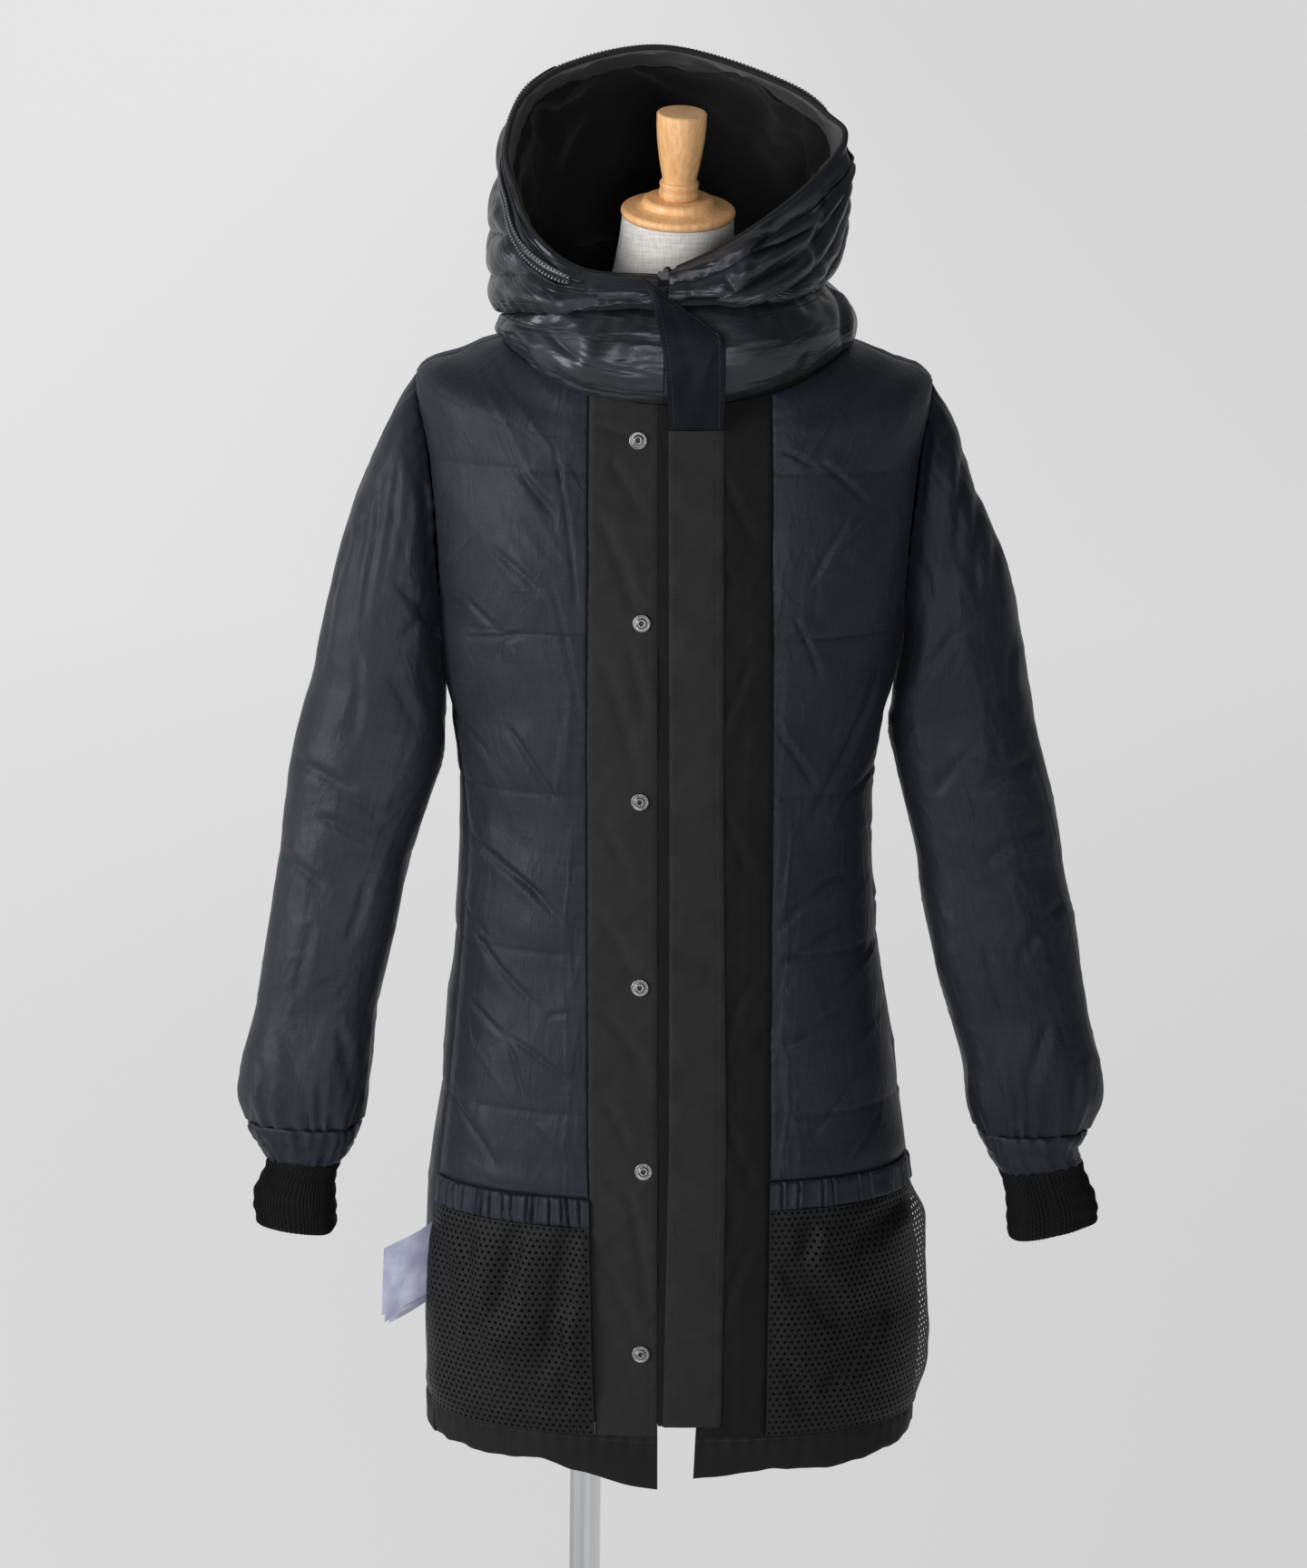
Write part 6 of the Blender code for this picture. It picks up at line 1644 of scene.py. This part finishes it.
snap = {
    "heights": (1.2905, 1.143, 0.9925, 0.835, 0.6795, 0.5225),
    "x": (-0.033, -0.0283, -0.028, -0.0261, -0.0212, -0.0216), "seat": 0.0008,
    "profile": ((0.0, 0.0004), (0.0013, 0.0004), (0.0016, 0.001), (0.0018, 0.0021), (0.0024, 0.0024),
                (0.0035, 0.0023), (0.004, 0.0015), (0.0046, 0.0009), (0.0058, 0.001), (0.0066, 0.0013),
                (0.0073, 0.0009), (0.0076, 0.0), (0.0, -0.0002)),
    "hole": ((0.0, 0.0008), (0.0011, 0.0008), (0.0013, 0.0006), (0.0013, 0.0003), (0.0, 0.0003)),
}
for number, (height, x) in enumerate(zip(snap["heights"], snap["x"]), 1):
    level = float(levelAt(height))
    angle = float(angleAt(np.array(x), np.array(level)))
    patch = coatFace(*np.meshgrid(angle + np.array((-0.6, 0, 0.6)), level + np.array((-0.02, 0, 0.02))))
    normal = Vector(gridNormals(patch, outwardAt(np.full((3, 3), angle)))[1, 1])
    seat = Vector(patch[1, 1]) + normal * snap["seat"] + Vector((coatX, 0, 0))
    matrix = Matrix.Translation(seat) @ normal.to_track_quat("Z", "Y").to_matrix().to_4x4()
    lathe(f"snapRing{number}", roundedProfile(snap["profile"], 0.0003, 2), 40, matrix, "snap", [f"snap_{number}"])
    # painted shade: a small black disc in the middle of each snap stands for the shade in its hole
    lathe(f"snapHoleShade{number}", snap["hole"], 20, matrix, "plastic")

slider = {"place": (-0.0125, -0.11, 1.4245), "size": (0.013, 0.0055, 0.0065), "knob": 0.0031,
          "outline": ((-0.5, 0.42), (-0.36, 0.5), (0.36, 0.5), (0.5, 0.42), (0.5, 0.1), (0.34, -0.3),
                      (0.3, -0.5), (-0.3, -0.5), (-0.34, -0.3), (-0.5, 0.1))}


def addSlider():
    # wide shoulders, a narrow foot and a round knob on top
    (width, depth, height), knob, count = slider["size"], slider["knob"], len(slider["outline"])
    points = [(x * width, side * depth / 2, z * height) for side in (-1, 1) for x, z in slider["outline"]]
    turns, rings = 20, 10
    faces = tubeEnds(2, count) + tubeFaces(2, count) + tubeFaces(rings + 1, turns, len(points), True)
    for i in range(rings + 1):
        polar = math.pi * i / rings
        for j in range(turns):
            turn = 2 * math.pi * j / turns
            points.append((knob / 2 + knob * math.sin(polar) * math.cos(turn),
                           knob * math.sin(polar) * math.sin(turn), height / 2 + knob / 3 + knob * math.cos(polar)))
    place = Matrix.Translation(Vector(slider["place"]) + Vector((coatX, 0, 0)))
    addPiece("zipSlider", newMesh("zipSlider", points, faces, 35, place), "plastic", ["zip_slider"])


addSlider()

label = {"top": 0.611, "size": (0.043, 0.06), "droop": 0.022, "behind": 0.6, "wall": 0.0008,
         "leaves": ((0.0, 0.0, 1.0), (0.0012, 0.0045, 0.93), (0.0022, -0.0035, 0.86))}
rowsOf = np.linspace(0, 1, 22)
levels = levelAt(label["top"] - label["size"][1] * rowsOf)
seamLine = coatFace(sideAngle("right", levels) - label["behind"], levels)
seamSpan = coatFace(np.stack([sideAngle("right", levels) + d for d in (-1.2, 0, 1.2)], -1),
                    np.repeat(levels[:, None], 3, 1))
seamLine = seamLine + gridNormals(seamSpan, awayFromMiddle(seamSpan))[:, 1] * gap
for number, (behind, turnOut, reach) in enumerate(label["leaves"]):
    out = np.linspace(0, 1, 18)[None] + 0 * rowsOf[:, None]
    down = rowsOf[:, None] + 0 * out
    bow = 0.004 * np.sin(math.pi * out) + turnOut * out ** 2 * (0.4 + down)
    curl = (0.0035 * out ** 3 * np.sin(2.2 * down + number)
            + 0.0012 * softNoise(out * 0.04, down * 0.06, 0.02, 190 + number))
    points = seamLine[:, None] + np.stack((-label["size"][0] * out * reach, -0.008 * out - bow + curl + behind * 2,
                                           -label["droop"] * out - 0.004 * number * down), -1)
    inner = points + np.array((0, 0.0006 if number else label["wall"] * 0.5, 0))
    leaf = buildShell(f"careLabel{number + 1}", points, inner, "label", [] if number else ["care_label"], sharp=70)
    cutSize(leaf, points)
print("small parts ready")


# the form and its stand

form = {
    "roundness": 0.92, "sides": 80, "rows": 70, "tilt": 13.5, "lean": 1.3, "cap": (-0.0025, -0.02, 1.473),
    "neck": 0.0462, "capThick": 0.0072, "pole": 0.0135, "poleSpan": (0.034, 0.8),
    "capProfile": ((0.0, 0.0082), (0.027, 0.0082), (0.0296, 0.0066), (0.03, 0.0044), (0.0312, 0.002),
                   (0.035, 0.0006), (0.0455, -0.0004), (0.0472, -0.0018), (0.0476, -0.0038),
                   (0.047, -0.006), (0.0455, -0.0072), (0.0, -0.0072)),
    "knobProfile": ((0.0, 0.0812), (0.0192, 0.0812), (0.0206, 0.0798), (0.0205, 0.07), (0.0196, 0.058),
                    (0.0179, 0.045), (0.016, 0.034), (0.0146, 0.027), (0.014, 0.0238), (0.0146, 0.023),
                    (0.0159, 0.0222), (0.0163, 0.0202), (0.0161, 0.018), (0.0152, 0.0168), (0.0152, 0.0163),
                    (0.0164, 0.0152), (0.0168, 0.013), (0.0166, 0.0105), (0.0158, 0.0088), (0.0158, 0.0085),
                    (0.0, 0.0085)),
    "baseProfile": ((0.0, 0.034), (0.023, 0.034), (0.025, 0.032), (0.026, 0.014), (0.03, 0.011),
                    (0.18, 0.009), (0.19, 0.006), (0.19, 0.0), (0.0, 0.0)),
}
formRings = np.array([
    (0.8, 0.8, 0.8, 0.14, 0.14, 0.09, 0.1), (0.88, 0.88, 0.88, 0.15, 0.148, 0.096, 0.1),
    (0.985, 0.985, 0.985, 0.118, 0.116, 0.08, 0.082), (1.06, 1.06, 1.06, 0.132, 0.13, 0.092, 0.086),
    (1.15, 1.14, 1.15, 0.152, 0.15, 0.112, 0.092), (1.23, 1.215, 1.23, 0.178, 0.172, 0.104, 0.094),
    (1.29, 1.262, 1.285, 0.195, 0.187, 0.096, 0.088), (1.325, 1.284, 1.312, 0.196, 0.188, 0.092, 0.082),
    (1.3441, 1.298, 1.337, 0.183, 0.176, 0.088, 0.078), (1.3591, 1.312, 1.362, 0.145, 0.141, 0.084, 0.072),
    (1.383, 1.345, 1.388, 0.09, 0.09, 0.074, 0.06), (1.405, 1.388, 1.41, 0.062, 0.062, 0.07, 0.044),
])
neckAxis = (Matrix.Translation((form["cap"][0] + coatX, form["cap"][1], form["cap"][2]))
            @ Matrix.Rotation(math.radians(form["lean"]), 4, "Y")
            @ Matrix.Rotation(math.radians(form["tilt"]), 4, "X"))
turns = np.arange(form["sides"]) * 360.0 / form["sides"]
rings = [ringFace(formRings, turns, turns * 0 + i, form["roundness"]) + (coatX, 0, 0)
         for i in range(len(formRings))]
for drop, radius in ((0.036, form["neck"] + 0.003), (form["capThick"] + gap, form["neck"])):
    rings.append(np.array([neckAxis @ Vector((radius * o[0], radius * o[1], -drop)) for o in outwardAt(turns)]))
rings = np.array(rings)
rows = alongRows(rings.reshape(len(rings), -1), np.linspace(0, len(rings) - 1, form["rows"]))
faces = tubeFaces(form["rows"], form["sides"]) + tubeEnds(form["rows"], form["sides"])
addPiece("formTorso", newMesh("formTorso", rows.reshape(-1, 3).tolist(), faces, 50), "linen", ["form_torso"])
lathe("formCap", roundedProfile(form["capProfile"], 0.0008, 3), 96, neckAxis, "capWoodLit", ["form_cap"])
lathe("formKnob", roundedProfile(form["knobProfile"], 0.0005, 3), 72, neckAxis, "wood", ["form_knob"])
lathe("standBase", roundedProfile(form["baseProfile"], 0.002, 4), 128, Matrix.Identity(4), "chrome", ["stand_base"])
foot, top = form["poleSpan"][0] + gap, form["poleSpan"][1] - gap
poleProfile = ((0.0, top), (form["pole"], top), (form["pole"], foot), (0.0, foot))
lathe("standPole", roundedProfile(poleProfile, 0.0008, 3), 64, Matrix.Identity(4), "poleChromeReflections", ["stand_pole"])
print("form and stand ready")
